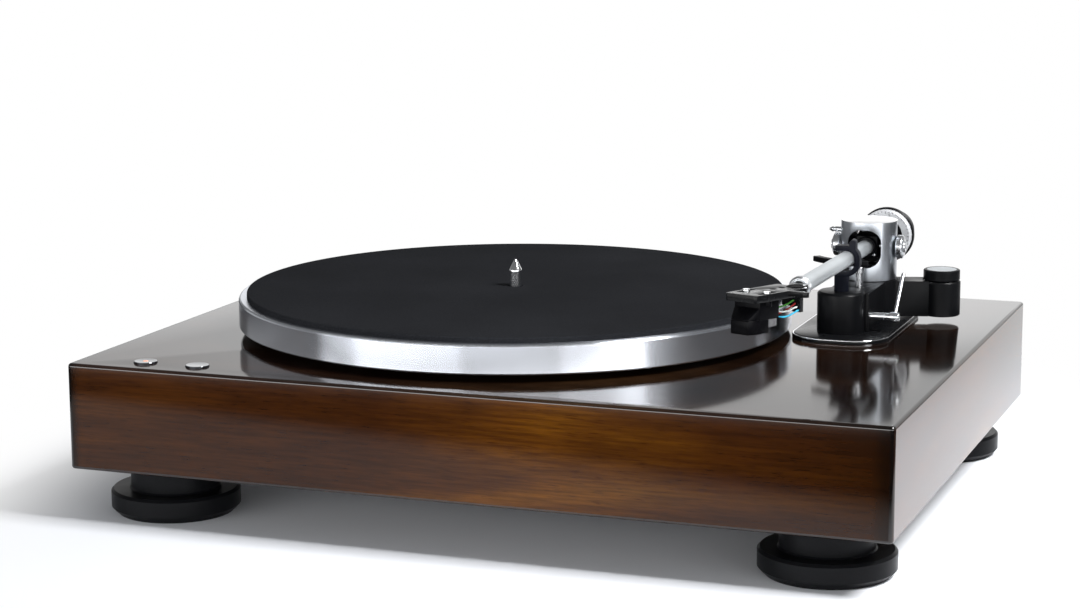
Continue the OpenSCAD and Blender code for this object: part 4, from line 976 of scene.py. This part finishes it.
def antiskate_control():
    drum_low, drum_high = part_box("antiskate_drum")
    knob_low, knob_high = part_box("antiskate_knob")
    axis = at_axis("antiskate_drum")
    drum = (drum_high.x - drum_low.x) / 2
    knob = (knob_high.x - knob_low.x) / 2
    shaft = 2.5 * mm
    well = 2.55 * mm
    well_floor = knob_low.z - 0.5 * mm
    bm = turned([
        (0, drum_low.z), (drum - 0.5 * mm, drum_low.z), (drum, drum_low.z + 0.5 * mm),
        (drum, drum_high.z - 0.7 * mm), (drum - 0.5 * mm, drum_high.z), (well, drum_high.z),
        (well, well_floor), (0, well_floor)
    ])
    bm.transform(axis)
    piece(bm, "drum_turned", satin_paint, "base", ["antiskate_drum"])
    seam = drum_high.z + 0.3 * mm
    top = knob_high.z
    inlay = knob - 1.8 * mm
    sunk = top - 0.4 * mm
    bm = turned([
        (0, knob_low.z), (shaft, knob_low.z), (shaft, seam), (knob - 0.6 * mm, seam),
        (knob, seam + 0.6 * mm), (knob, top - 0.8 * mm), (knob - 0.25 * mm, top - 0.25 * mm),
        (knob - 0.8 * mm, top), (inlay, top), (inlay, sunk), (0, sunk)
    ])
    bm.transform(axis)
    piece(bm, "knob_turned", satin_paint, "antiskate_knob", ["antiskate_knob"])
    edge = inlay - 0.1 * mm
    seat = sunk + 0.01 * mm
    bm = turned([(0, seat), (edge, seat), (edge, top - 0.1 * mm), (inlay - 0.3 * mm, top), (0, top)])
    bm.transform(axis)
    piece(bm, "knob_inlay", tube_metal, "antiskate_knob")


antiskate_control()

# %% [markdown]
# ## Cue lift
# A bent bright lever on the right turns a short axle. That lifts a pin, and the pin carries a curved
# black bar under the tube. The lever has a round hub and a leaning rod with a rounded end; the rod's
# length follows from the height of the solid.

# %% Lever, axle, pin and bar
LEVER_LEAN = 45


def cue_lift():
    low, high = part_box("cue_axle")
    radius = (high.z - low.z) / 2
    middle = (low + high) / 2
    length = high.x - low.x
    bm = turned([(0, 0), (radius - 0.3 * mm, 0), (radius, 0.3 * mm), (radius, length - 0.7 * mm),
                 (radius - 0.25 * mm, length - 0.25 * mm), (radius - 0.8 * mm, length), (0, length)], 48)
    bm.transform(Matrix.Translation((low.x, middle.y, middle.z)) @ TO_X)
    piece(bm, "cue_axle_turned", bright_satin, "cue_lever", ["cue_axle"])
    hub_low, hub_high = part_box("cue_lever")
    hub = 2.5 * mm
    width = hub_high.x - hub_low.x
    bore = radius + 0.02 * mm
    bm = turned([(bore, 0), (hub - 0.2 * mm, 0), (hub, 0.3 * mm), (hub, width - 0.3 * mm),
                 (hub - 0.2 * mm, width), (bore, width)], 48, True)
    bm.transform(Matrix.Translation((hub_low.x, middle.y, middle.z)) @ TO_X)
    rod = 1.1 * mm
    angle = math.radians(LEVER_LEAN)
    reach = (hub_high.z - middle.z - rod * math.sin(angle)) / math.cos(angle)
    stick = turned([(0, 0.5 * hub), (rod, 0.5 * hub), (rod, reach - 0.7 * mm),
                    (rod - 0.3 * mm, reach - 0.2 * mm), (0, reach)], 32)
    lean = Matrix.Rotation(-angle, 4, "X")
    stick.transform(Matrix.Translation(((hub_low.x + hub_high.x) / 2, middle.y, middle.z)) @ lean)
    joined_into(bm, stick)
    piece(bm, "cue_lever_bent", bright_satin, "cue_lever", ["cue_lever"])


def lift_pin():
    low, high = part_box("lift_pin")
    head = (high.x - low.x) / 2
    pin = 2 * mm
    collar = high.z - 3.5 * mm
    bm = turned([(0, low.z), (pin, low.z), (pin, collar), (head - 0.3 * mm, collar),
                 (head, collar + 0.3 * mm), (head, high.z - 0.4 * mm), (head - 0.4 * mm, high.z),
                 (0, high.z)], 48)
    bm.transform(at_axis("lift_pin"))
    piece(bm, "lift_pin_turned", bright_satin, "cue_lift", ["lift_pin"])


cue_lift()
lift_pin()
milled("lift_bar", "lift_bar_eased", 0.5 * mm, moulded_black, "cue_lift", 3)

# %% [markdown]
# ## Tower and bearing block
# The tower is a bright turned cylinder with a window milled through it, and the arm's bearing block sits
# in the window. The walls inside the window are painted black as painted shade, and the top gets a
# brighter metal as a painted highlight, so those faces get materials of their own. A black plate across
# the window behind the block is painted shade too. The tube enters the block through a rounded boss,
# with a small screw below it.

# %% Tower and block
WINDOW_INSET = 0.9 * mm
WINDOW_MARGIN = 1 * mm
TOP_TILT = 0.5
WINDOW_SHADE, TOP_HIGHLIGHT = 1, 2


def arm_tower():
    low, high = box_in("arm_tower", TOWER)
    radius = (high.x - low.x) / 2
    bm = merged_copy("arm_tower")
    soften(bm, 0.45 * mm, 3)
    inverse = TOWER.inverted()
    shade_painted = 0
    for face in bm.faces:
        place = inverse @ face.calc_center_median()
        # Faces inside the window are painted black as painted shade.
        within = math.hypot(place.x, place.y) < radius - WINDOW_INSET
        if within and low.z + WINDOW_MARGIN < place.z < high.z - WINDOW_MARGIN:
            face.material_index = WINDOW_SHADE
            shade_painted += 1
        # Upward faces get the brighter metal, a painted highlight.
        elif face.normal.z > TOP_TILT:
            face.material_index = TOP_HIGHLIGHT
    tower = piece(bm, "tower_eased", tower_metal, "arm_yoke", ["arm_tower"])
    # Slot 1, satin black, is the painted shade inside the window.
    tower.data.materials.append(satin_paint)
    # Slot 2 is the painted highlight on the top.
    tower.data.materials.append(tower_top_highlight)
    print("shade_painted", shade_painted, "faces in the tower's window")


def window_lining():
    """A black plate across the window behind the block, as painted shade, with a hole for the weight's
    stub.
    """
    block_back = box_in("gimbal_block", ARM)[1].y
    hole = 5.2 * mm
    half_width = 9.2 * mm
    half_height = 10.4 * mm
    taller = half_height / half_width
    front = block_back + 0.7 * mm
    back = front + 2 * mm
    bm = turned([(hole, front), (half_width, front), (half_width, back), (hole, back)], 72, True)
    bm.transform(TOWER @ Matrix.Diagonal((1, 1, taller, 1)) @ TO_Y)
    piece(bm, "window_lining", satin_paint, "arm_yoke")


def block_details():
    """The rounded boss that the tube enters, and a small screw below it."""
    low, high = box_in("gimbal_block", ARM)
    tube = (tube_high.x - tube_low.x) / 2
    front = low.y
    seat = front + 0.2 * mm
    nose = front - 2.2 * mm
    boss = tube + 1.6 * mm
    bm = turned([(tube, seat), (tube, nose), (tube + 1 * mm, nose), (boss, nose + 0.6 * mm), (boss, seat)],
                48, True)
    bm.transform(ARM @ TO_Y)
    piece(bm, "tube_boss", satin_paint, "tonearm")
    head = 1 * mm
    bm = turned([(0, seat), (head, seat), (head, front - 0.5 * mm), (head * 0.7, front - 0.9 * mm),
                 (0, front - 1 * mm)], 24)
    bm.transform(ARM @ Matrix.Translation((high.x - 1.6 * mm, 0, low.z + 1.6 * mm)) @ TO_Y)
    piece(bm, "block_screw", bright_satin, "tonearm")


arm_tower()
milled("gimbal_block", "bearing_block", 0.6 * mm, satin_paint, "tonearm", 3)
window_lining()
block_details()

# %% [markdown]
# ## Bearing screws and stop pin
# From each side of the tower a bearing screw runs in, locked by a round nut. The nut is a short cylinder
# with chamfers; the screw's end stands a little proud and has a round socket. One outline is turned to
# both sides. On the left a thin pin with a groove and a pointed end stands out of the tower.

# %% Nuts and pin


def bearing_nuts():
    low, high = box_in("pivot_screws", TOWER)
    end = high.x
    nut = (high.z - low.z) / 2
    face = end - 5 * mm
    tip = 6.35 * mm
    screw = 2.5 * mm
    bm = bmesh.new()
    for side in (1, -1):
        half = turned([
            (0, tip), (screw, tip), (screw, face), (nut - 0.6 * mm, face), (nut, face + 0.6 * mm),
            (nut, end - 2 * mm), (nut - 0.35 * mm, end - 1.5 * mm), (nut - 1.6 * mm, end - 0.9 * mm),
            (3.2 * mm, end - 0.9 * mm), (3 * mm, end - 0.2 * mm), (2.8 * mm, end), (1.3 * mm, end),
            (1.2 * mm, end - 1.2 * mm), (0, end - 1.2 * mm)
        ], 64)
        half.transform(TOWER @ Matrix.Rotation(math.radians(90 * side), 4, "Y"))
        joined_into(bm, half)
    piece(bm, "bearing_nuts", bright_satin, "arm_yoke", ["pivot_screws"], 25)


def tower_stop():
    low, high = box_in("tower_pin", TOWER)
    radius = (high.z - low.z) / 2
    middle = (high.z + low.z) / 2
    length = high.x - low.x
    bm = turned([(0, 0), (radius, 0), (radius, length - 3.4 * mm), (radius - 0.35 * mm, length - 3.1 * mm),
                 (radius - 0.35 * mm, length - 2.6 * mm), (radius, length - 2.3 * mm),
                 (radius, length - 1.9 * mm), (0.55 * mm, length - 0.1 * mm), (0, length)], 40)
    outwards = Matrix.Rotation(math.radians(-90), 4, "Y")
    bm.transform(TOWER @ Matrix.Translation((high.x, 0, middle)) @ outwards)
    piece(bm, "tower_stop", bright_satin, "arm_yoke", ["tower_pin"])


bearing_nuts()
tower_stop()

# %% [markdown]
# ## Arm tube and collar
# The tube is a straight, blasted aluminium pipe. A satin collar with two fine grooves joins it to the
# headshell. Both are spun in the arm's own frame, along its Y axis.

# %% Tube and collar


def arm_tube():
    radius = (tube_high.x - tube_low.x) / 2
    wall = 0.8 * mm
    start, end = tube_low.y, tube_high.y
    bm = turned([(radius - wall, start), (radius - 0.2 * mm, start), (radius, start + 0.2 * mm),
                 (radius, end - 0.2 * mm), (radius - 0.2 * mm, end), (radius - wall, end)], 72, True)
    bm.transform(ARM @ TO_Y)
    piece(bm, "arm_tube_blasted", tube_metal, "tonearm", ["arm_tube"])


def headshell_collar():
    low, high = box_in("headshell_collar", ARM)
    radius = (high.x - low.x) / 2 - 0.3 * mm
    bore = 4.175 * mm
    start, end = low.y, high.y
    outline = [(bore, start), (radius - 0.9 * mm, start), (radius, start + 0.9 * mm)]
    for groove in (1.4 * mm, 3.0 * mm):
        outline += [(radius, start + groove), (radius - 0.25 * mm, start + groove + 0.2 * mm),
                    (radius - 0.25 * mm, start + groove + 0.5 * mm), (radius, start + groove + 0.7 * mm)]
    outline += [(radius, end - 0.8 * mm), (radius - 0.8 * mm, end), (bore, end)]
    bm = turned(outline, 72, True)
    bm.transform(ARM @ TO_Y)
    piece(bm, "headshell_collar_turned", bright_satin, "tonearm", ["headshell_collar"], 25)


arm_tube()
headshell_collar()

# %% [markdown]
# ## Headshell
# The headshell is a thin black plate with two slots for the cartridge's screws, two round holes, and a
# finger lift on the outer side. Its solid has all of these, so it only needs eased edges and a slightly
# flatter neck. A thin wall stands beside the block of pins.

# %% Headshell
CROWN_HEIGHT = 0.4
shell_paint = black_coat("shell_satin_black", (0.004, 0.0042, 0.0048), 0.27, 2600, 0.015 * mm, 0.2)
cartridge_black = black_coat("cartridge_black", (0.0024, 0.0024, 0.003), 0.3, 3200, 0.015 * mm, 0.05)


def headshell():
    """The shell's own shape, with the neck's crown pressed a little flatter."""
    plate_top = 1.5 * mm
    bm = merged_copy("headshell")
    bm.transform(HEAD.inverted())
    for corner in bm.verts:
        if corner.co.z > plate_top + 0.1 * mm:
            corner.co.z = plate_top + CROWN_HEIGHT * (corner.co.z - plate_top)
    soften(bm, 0.3 * mm)
    bm.transform(HEAD)
    piece(bm, "headshell_eased", shell_paint, "tonearm", ["headshell"])


def lead_wall():
    """A thin wall beside the block of pins, on the far side of the leads."""
    bm = bmesh.new()
    block(bm, (-7.8 * mm, -3.6 * mm, -9 * mm), (-1.5 * mm, -2 * mm, -2.05 * mm))
    soften(bm, 0.3 * mm)
    bm.transform(HEAD)
    piece(bm, "lead_wall", cartridge_black, "tonearm")


headshell()
lead_wall()

# %% [markdown]
# ## Cartridge
# The cartridge hangs under the headshell: a dark body, the removable stylus holder and the stylus guard.
# The guard slopes up to the body and gets narrower at the front, and the wing behind it is smoky and
# see-through.

# %% Body, holder, guard and wing
NOSE_WIDTH = 0.67
milled("cartridge_body", "cartridge_shell", 0.4 * mm, cartridge_black, "tonearm", 3)
milled("stylus_holder", "stylus_carrier", 0.12 * mm, cartridge_black, "tonearm")
milled("stylus_guard", "stylus_cover", 0.2 * mm, cartridge_black, "tonearm")


def guard_slope():
    """The sloping front of the guard, from its nose up to the body."""
    guard_low, guard_high = box_in("stylus_guard", HEAD)
    gap = 0.05 * mm
    half = guard_high.x - gap
    base = guard_high.z
    back = box_in("cartridge_body", HEAD)[0].y
    bm = bmesh.new()
    for corner in block(bm, (-half, guard_low.y, base + gap), (half, back - gap, base + 6 * mm)):
        if corner.co.y < (guard_low.y + back) / 2:
            corner.co.x *= NOSE_WIDTH
            if corner.co.z > base + 3 * mm:
                corner.co.z = base + 0.6 * mm
    soften(bm, 0.25 * mm)
    bm.transform(HEAD)
    piece(bm, "guard_slope", cartridge_black, "tonearm")


def smoky_wing():
    material, tree, shader = start_material("smoky_plastic", 0.22)
    cloud = noise(tree, stretched(tree, (400, 400, 400)), 1, 3)
    tree.links.new(blended(tree, cloud, [(0.3, 0.16, 0.16, 0.17), (0.7, 0.24, 0.24, 0.25)]),
                   shader.inputs["Base Color"])
    shader.inputs["Transmission Weight"].default_value = 0.45
    guard = box_in("stylus_guard", HEAD)[1]
    half = guard.x - 0.1 * mm
    bm = bmesh.new()
    block(bm, (-half, guard.y + 0.1 * mm, guard.z - 4 * mm),
          (half, guard.y + 6.6 * mm, guard.z - 0.05 * mm))
    soften(bm, 0.35 * mm)
    bm.transform(HEAD)
    piece(bm, "smoky_wing", material, "tonearm")


guard_slope()
smoky_wing()

# %% [markdown]
# ## Cartridge screws
# Two bright screws hold the cartridge under the headshell. Both come from one outline, with a small
# round socket in the head.

# %% Screws


def shell_screws():
    low, high = box_in("headshell_screws", HEAD)
    middle = (low + high) / 2
    head = 1.9 * mm
    shank = 1.2 * mm
    top = high.z - 0.55 * mm
    seat = high.z - 1.4 * mm
    offset = (high.x - low.x) / 2 - head
    bm = bmesh.new()
    for side in (-1, 1):
        screw = turned([
            (0, low.z), (shank, low.z), (shank, seat), (head, seat), (head, top - 0.35 * mm),
            (head - 0.1 * mm, top - 0.1 * mm), (head - 0.35 * mm, top), (0.85 * mm, top),
            (0.8 * mm, top - 0.5 * mm), (0, top - 0.5 * mm)
        ], 32)
        screw.transform(HEAD @ Matrix.Translation((side * offset, middle.y, 0)))
        joined_into(bm, screw)
    piece(bm, "shell_screws", chrome, "tonearm", ["headshell_screws"], 25)


shell_screws()

# %% [markdown]
# ## Cartridge leads
# Four thin wires in the usual colours run from the back of the cartridge to the headshell's terminal.
# Each is a bevelled curve through the same points as its solid, made a mesh before it is put in place,
# and each starts in a small plated clip.

# %% Leads and clips
LEAD_AHEAD = [25.8, 24.2, 22.6, 21, 19.4, 17.8, 16.2, 14.6, 13, 11.4, 9.8, 8.2, 6.8, 5.4, 4.2]
LEAD_X = [
    [-4.5, -4.5, -4.4, -4.2, -3.9, -3.5, -3, -2.5, -2, -1.5, -1, -0.6, -0.3, -0.1, 0],
    [-1.5, -1.5, -1.4, -1.3, -1.1, -0.9, -0.6, -0.3, 0, 0.3, 0.5, 0.7, 0.9, 1, 1],
    [1.5, 1.5, 1.5, 1.6, 1.6, 1.7, 1.7, 1.8, 1.8, 1.9, 1.9, 1.9, 2, 2, 2],
    [4.5, 4.5, 4.5, 4.4, 4.3, 4.2, 4, 3.9, 3.7, 3.5, 3.3, 3.2, 3.1, 3, 3]
]
LEAD_Z = [
    [-8.1, -8.1, -8.3, -8.5, -8.7, -8.8, -8.8, -8.7, -8.5, -8.2, -7.8, -7.3, -6.7, -6.2, -5.8],
    [-11, -11, -11.2, -11.4, -11.5, -11.5, -11.3, -11, -10.6, -10.1, -9.6, -9, -8.4, -7.8, -7.4],
    [-8.1, -8.1, -8.4, -8.8, -9.3, -9.7, -10, -10.2, -10.2, -10.1, -9.9, -9.6, -9.3, -9.1, -9],
    [-11, -11, -11.3, -11.7, -12, -12.2, -12.3, -12.3, -12.2, -12, -11.7, -11.4, -11.1, -10.8, -10.6]
]
LEAD_COLOURS = {"green": (0.07, 0.3, 0.05), "red": (0.4, 0.03, 0.03), "white": (0.78, 0.78, 0.76),
                "blue": (0.04, 0.36, 0.56)}
LEAD_RADIUS = 0.45 * mm
CLIP_START = 25.9 * mm


def lead_wire(colour, across_list, up_list):
    curve = bpy.data.curves.new("lead_path", "CURVE")
    curve.dimensions = "3D"
    curve.bevel_depth = LEAD_RADIUS
    curve.bevel_resolution = 3
    curve.use_fill_caps = True
    spline = curve.splines.new("POLY")
    spline.points.add(len(LEAD_AHEAD) - 1)
    for point, x, ahead, z in zip(spline.points, across_list, LEAD_AHEAD, up_list):
        point.co = (x * mm, -ahead * mm, z * mm, 1)
    holder = bpy.data.objects.new("lead_path", curve)
    bm = bmesh.new()
    shape = bpy.data.meshes.new_from_object(holder)
    bm.from_mesh(shape)
    bpy.data.objects.remove(holder)
    bpy.data.curves.remove(curve)
    bpy.data.meshes.remove(shape)
    tidy_mesh(bm)
    bm.transform(HEAD)
    sleeve = black_coat("lead_" + colour, LEAD_COLOURS[colour], 0.45, 2000, 0.01 * mm)
    return piece(bm, "lead_" + colour, sleeve, "tonearm")


def lead_clips():
    clip = 0.8 * mm
    length = 3.4 * mm
    bm = bmesh.new()
    for xs, zs in zip(LEAD_X, LEAD_Z):
        one = turned([(LEAD_RADIUS, 0), (clip, 0), (clip, length - 0.7 * mm), (LEAD_RADIUS, length)],
                     20, True)
        one.transform(HEAD @ Matrix.Translation((xs[0] * mm, -CLIP_START, zs[0] * mm)) @ TO_Y)
        joined_into(bm, one)
    piece(bm, "lead_clips", chrome, "tonearm")


wires = [lead_wire(*row) for row in zip(LEAD_COLOURS, LEAD_X, LEAD_Z)]
for wire in wires:
    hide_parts("cartridge_leads")
lead_clips()

# %% [markdown]
# ## Counterweight
# The counterweight turns on a sleeve behind the pivot. It has a black rim with a fine groove for the
# fingers, and a narrower body behind it. In front its hub carries the dial.

# %% Counterweight


def counterweight():
    low, high = box_in("counterweight", ARM)
    rim = (high.x - low.x) / 2
    hub = 9.7 * mm
    hole = 8.1 * mm
    body = 12 * mm
    sleeve = 5.6 * mm
    front = box_in("force_dial", ARM)[1].y + 0.3 * mm
    bm = turned([
        (hole, low.y), (hub - 0.3 * mm, low.y), (hub, low.y + 0.3 * mm), (hub, front),
        (rim - 0.6 * mm, front), (rim, front + 0.6 * mm), (rim, front + 1.2 * mm),
        (rim - 0.3 * mm, front + 1.5 * mm),
        (rim - 0.3 * mm, front + 1.8 * mm), (rim, front + 2.1 * mm), (rim, front + 3.3 * mm),
        (rim - 0.7 * mm, front + 4 * mm), (body, front + 4 * mm), (body, high.y - 6 * mm),
        (body - 0.4 * mm, high.y - 5.6 * mm), (body - 0.4 * mm, high.y - 5 * mm), (body, high.y - 4.6 * mm),
        (body, high.y - 1 * mm), (body - 1 * mm, high.y), (sleeve, high.y), (sleeve, front + 8 * mm),
        (hole, front + 8 * mm)
    ], 120, True)
    bm.transform(ARM @ TO_Y)
    piece(bm, "weight_turned", satin_paint, "counterweight", ["counterweight"], 28)


counterweight()

# %% [markdown]
# ## Force dial
# The dial in front of the weight shows the tracking force. It is a bright ring with dark marks and plain
# numbers, printed on the face that looks towards the head.

# %% Dial
DIAL_TICKS = 40
DIAL_NUMBERS = 4


def silver_print():
    material, tree, shader = start_material("satin_silver_dial", 0.38, 0.35)
    grain = noise(tree, stretched(tree, (2500, 2500, 2500)), 1, 3)
    tree.links.new(blended(tree, grain, [(0.3, 0.58, 0.59, 0.61), (0.7, 0.7, 0.71, 0.73)]),
                   shader.inputs["Base Color"])
    return material


def force_dial():
    low, high = box_in("force_dial", ARM)
    rim = (high.x - low.x) / 2 + 0.6 * mm
    bore = 10 * mm
    bm = turned([
        (bore, low.y), (rim - 0.8 * mm, low.y), (rim, low.y + 0.8 * mm), (rim, high.y), (bore, high.y)
    ], 120, True)
    bm.transform(ARM @ TO_Y)
    piece(bm, "dial_ring", silver_print(), "force_dial", ["force_dial"], 28)
    return low.y, rim


def dial_marks(face, rim):
    """Ticks all round, longer at each whole number, and the numbers themselves."""
    half = 0.12 * mm
    proud = 0.03 * mm
    sunk = 0.05 * mm
    outer = rim - 0.9 * mm
    bm = bmesh.new()
    for i in range(DIAL_TICKS):
        at_number = i % (DIAL_TICKS // DIAL_NUMBERS) == 0
        inner = outer - (1.3 * mm if at_number else 0.8 * mm)
        corners = block(bm, (-half, face - proud, inner), (half, face + sunk, outer))
        bmesh.ops.rotate(bm, verts=corners, cent=(0, 0, 0),
                         matrix=Matrix.Rotation(math.tau * i / DIAL_TICKS, 3, "Y"))
    for i in range(DIAL_NUMBERS):
        text = bpy.data.curves.new("dial_number", "FONT")
        text.body = str(i)
        text.size = 1.9 * mm
        text.extrude = proud
        text.align_x = "CENTER"
        text.align_y = "CENTER"
        holder = bpy.data.objects.new("dial_number", text)
        bpy.context.scene.collection.objects.link(holder)
        bpy.context.view_layer.update()
        shape = bpy.data.meshes.new_from_object(holder)
        upright = Matrix.Rotation(math.radians(90), 4, "X")
        turn = Matrix.Rotation(math.tau * (i + 0.12) / DIAL_NUMBERS, 4, "Y")
        shape.transform(turn @ Matrix.Translation((0, face, rim - 2.6 * mm)) @ upright)
        bm.from_mesh(shape)
        bpy.data.objects.remove(holder)
        bpy.data.curves.remove(text)
        bpy.data.meshes.remove(shape)
    bm.transform(ARM)
    piece(bm, "dial_marks", satin_paint, "force_dial")


dial_marks(*force_dial())

# %% [markdown]
# ## Phono jacks
# The back isn't in the photograph. A recess in it holds two plated phono jacks, one with a white and one
# with a red insulator. Both come from one outline.

# %% Jacks


def phono_jacks():
    low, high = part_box("rca_jacks")
    middle = (low + high) / 2
    nut = (high.z - low.z) / 2
    sleeve = 4.15 * mm
    hole = 1.6 * mm
    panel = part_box("rear_panel")[1].y
    insulator = 3.09 * mm
    seat = high.y - 0.79 * mm
    front = high.y - 0.2 * mm
    tops = {"white": (0.7, 0.7, 0.68), "red": (0.45, 0.03, 0.025)}
    bm = bmesh.new()
    for x, (name, colour) in zip((low.x + nut, high.x - nut), tops.items()):
        place = Matrix.Translation((x, 0, middle.z)) @ TO_Y
        one = turned([
            (0, low.y), (sleeve, low.y), (sleeve, panel), (nut - 0.5 * mm, panel), (nut, panel + 0.5 * mm),
            (nut, panel + 2 * mm), (nut - 0.5 * mm, panel + 2.5 * mm), (sleeve, panel + 2.5 * mm),
            (sleeve, high.y - 0.4 * mm), (sleeve - 0.4 * mm, high.y), (3.1 * mm, high.y),
            (3.1 * mm, high.y - 0.8 * mm), (hole, high.y - 0.8 * mm), (hole, panel + 2.5 * mm),
            (0, panel + 2.5 * mm)
        ], 48)
        one.transform(place)
        joined_into(bm, one)
        ring = turned([(hole, seat), (insulator, seat), (insulator, front), (hole, front)], 40, True)
        ring.transform(place)
        finish = black_coat("insulator_" + name, colour, 0.4, 1500, 0.01 * mm)
        piece(ring, "jack_insulator_" + name, finish, "base")
    piece(bm, "phono_jacks", gilt, "base", ["rca_jacks"])


phono_jacks()

# %% [markdown]
# ## Earth post, inlet and panel
# Beside the jacks stand an earth post with a milled thumb nut and the low-voltage inlet with its pin. The
# nut is a many-sided prism, and every second corner is pulled in for the ribs. The panel behind them all
# keeps its own shape with eased edges.

# %% Post, inlet and panel
RIBS = 30
RIB_DEPTH = 0.94


def earth_post():
    low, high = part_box("ground_post")
    middle = (low + high) / 2
    nut = (high.z - low.z) / 2
    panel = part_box("rear_panel")[1].y
    stem = 2 * mm
    bm = bmesh.new()
    bmesh.ops.create_cone(bm, cap_ends=True, segments=2 * RIBS, radius1=nut, radius2=nut, depth=5.6 * mm,
                          matrix=Matrix.Translation((0, 0, panel + 3 * mm)))
    for i, corner in enumerate(sorted(bm.verts, key=lambda v: (v.co.z, math.atan2(v.co.y, v.co.x)))):
        if i % 2:
            corner.co.x *= RIB_DEPTH
            corner.co.y *= RIB_DEPTH
    post = turned([(0, low.y), (stem, low.y), (stem, high.y - 0.5 * mm), (stem - 0.5 * mm, high.y),
                   (0, high.y)], 32)
    joined_into(bm, post)
    bm.transform(Matrix.Translation((middle.x, 0, middle.z)) @ TO_Y)
    piece(bm, "earth_post", chrome, "base", ["ground_post"])


def power_inlet():
    low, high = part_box("power_inlet")
    middle = (low + high) / 2
    milled("power_inlet", "inlet_shell", 0.4 * mm, moulded_black, "base")
    radius = 1 * mm
    seat = high.y - 10.9 * mm
    tip = high.y - 1.9 * mm
    pin = turned([(0, seat), (radius, seat), (radius, tip - 0.5 * mm), (radius - 0.4 * mm, tip),
                  (0, tip)], 24)
    pin.transform(Matrix.Translation((middle.x, 0, middle.z)) @ TO_Y)
    piece(pin, "inlet_pin", steel, "base")


earth_post()
power_inlet()
milled("rear_panel", "rear_panel_eased", 0.2 * mm, moulded_black, "base")

# %% [markdown]
# ## Finishes for the solids that stay
# What is hidden inside or under the player keeps its own solid and only gets a finish. The table pairs
# each finish with the nodes that wear it.

# %% Finishes on the other nodes
FINISHES = {
    board_dark: ["bottom_panel"],
    steel: ["bottom_screws", "foot_bolts", "bearing_housing", "bearing_screws", "motor_body", "motor_plate",
            "motor_screws", "motor_shaft", "arm_base_nut", "swing_shaft", "rear_stub", "board_posts"],
    chrome: ["thrust_ball"],
    bronze: ["bearing_bush", "motor_pulley"],
    soft_black: ["motor_grommets", "drive_belt"],
    moulded_black: ["button_switches", "weight_sleeve"],
    board_green: ["control_board"],
}
for finish, names in FINISHES.items():
    for name in names:
        slots = frame["nodes"][name].data.materials
        slots.clear()
        slots.append(finish)
print("finished", sum(len(names) for names in FINISHES.values()), "nodes")
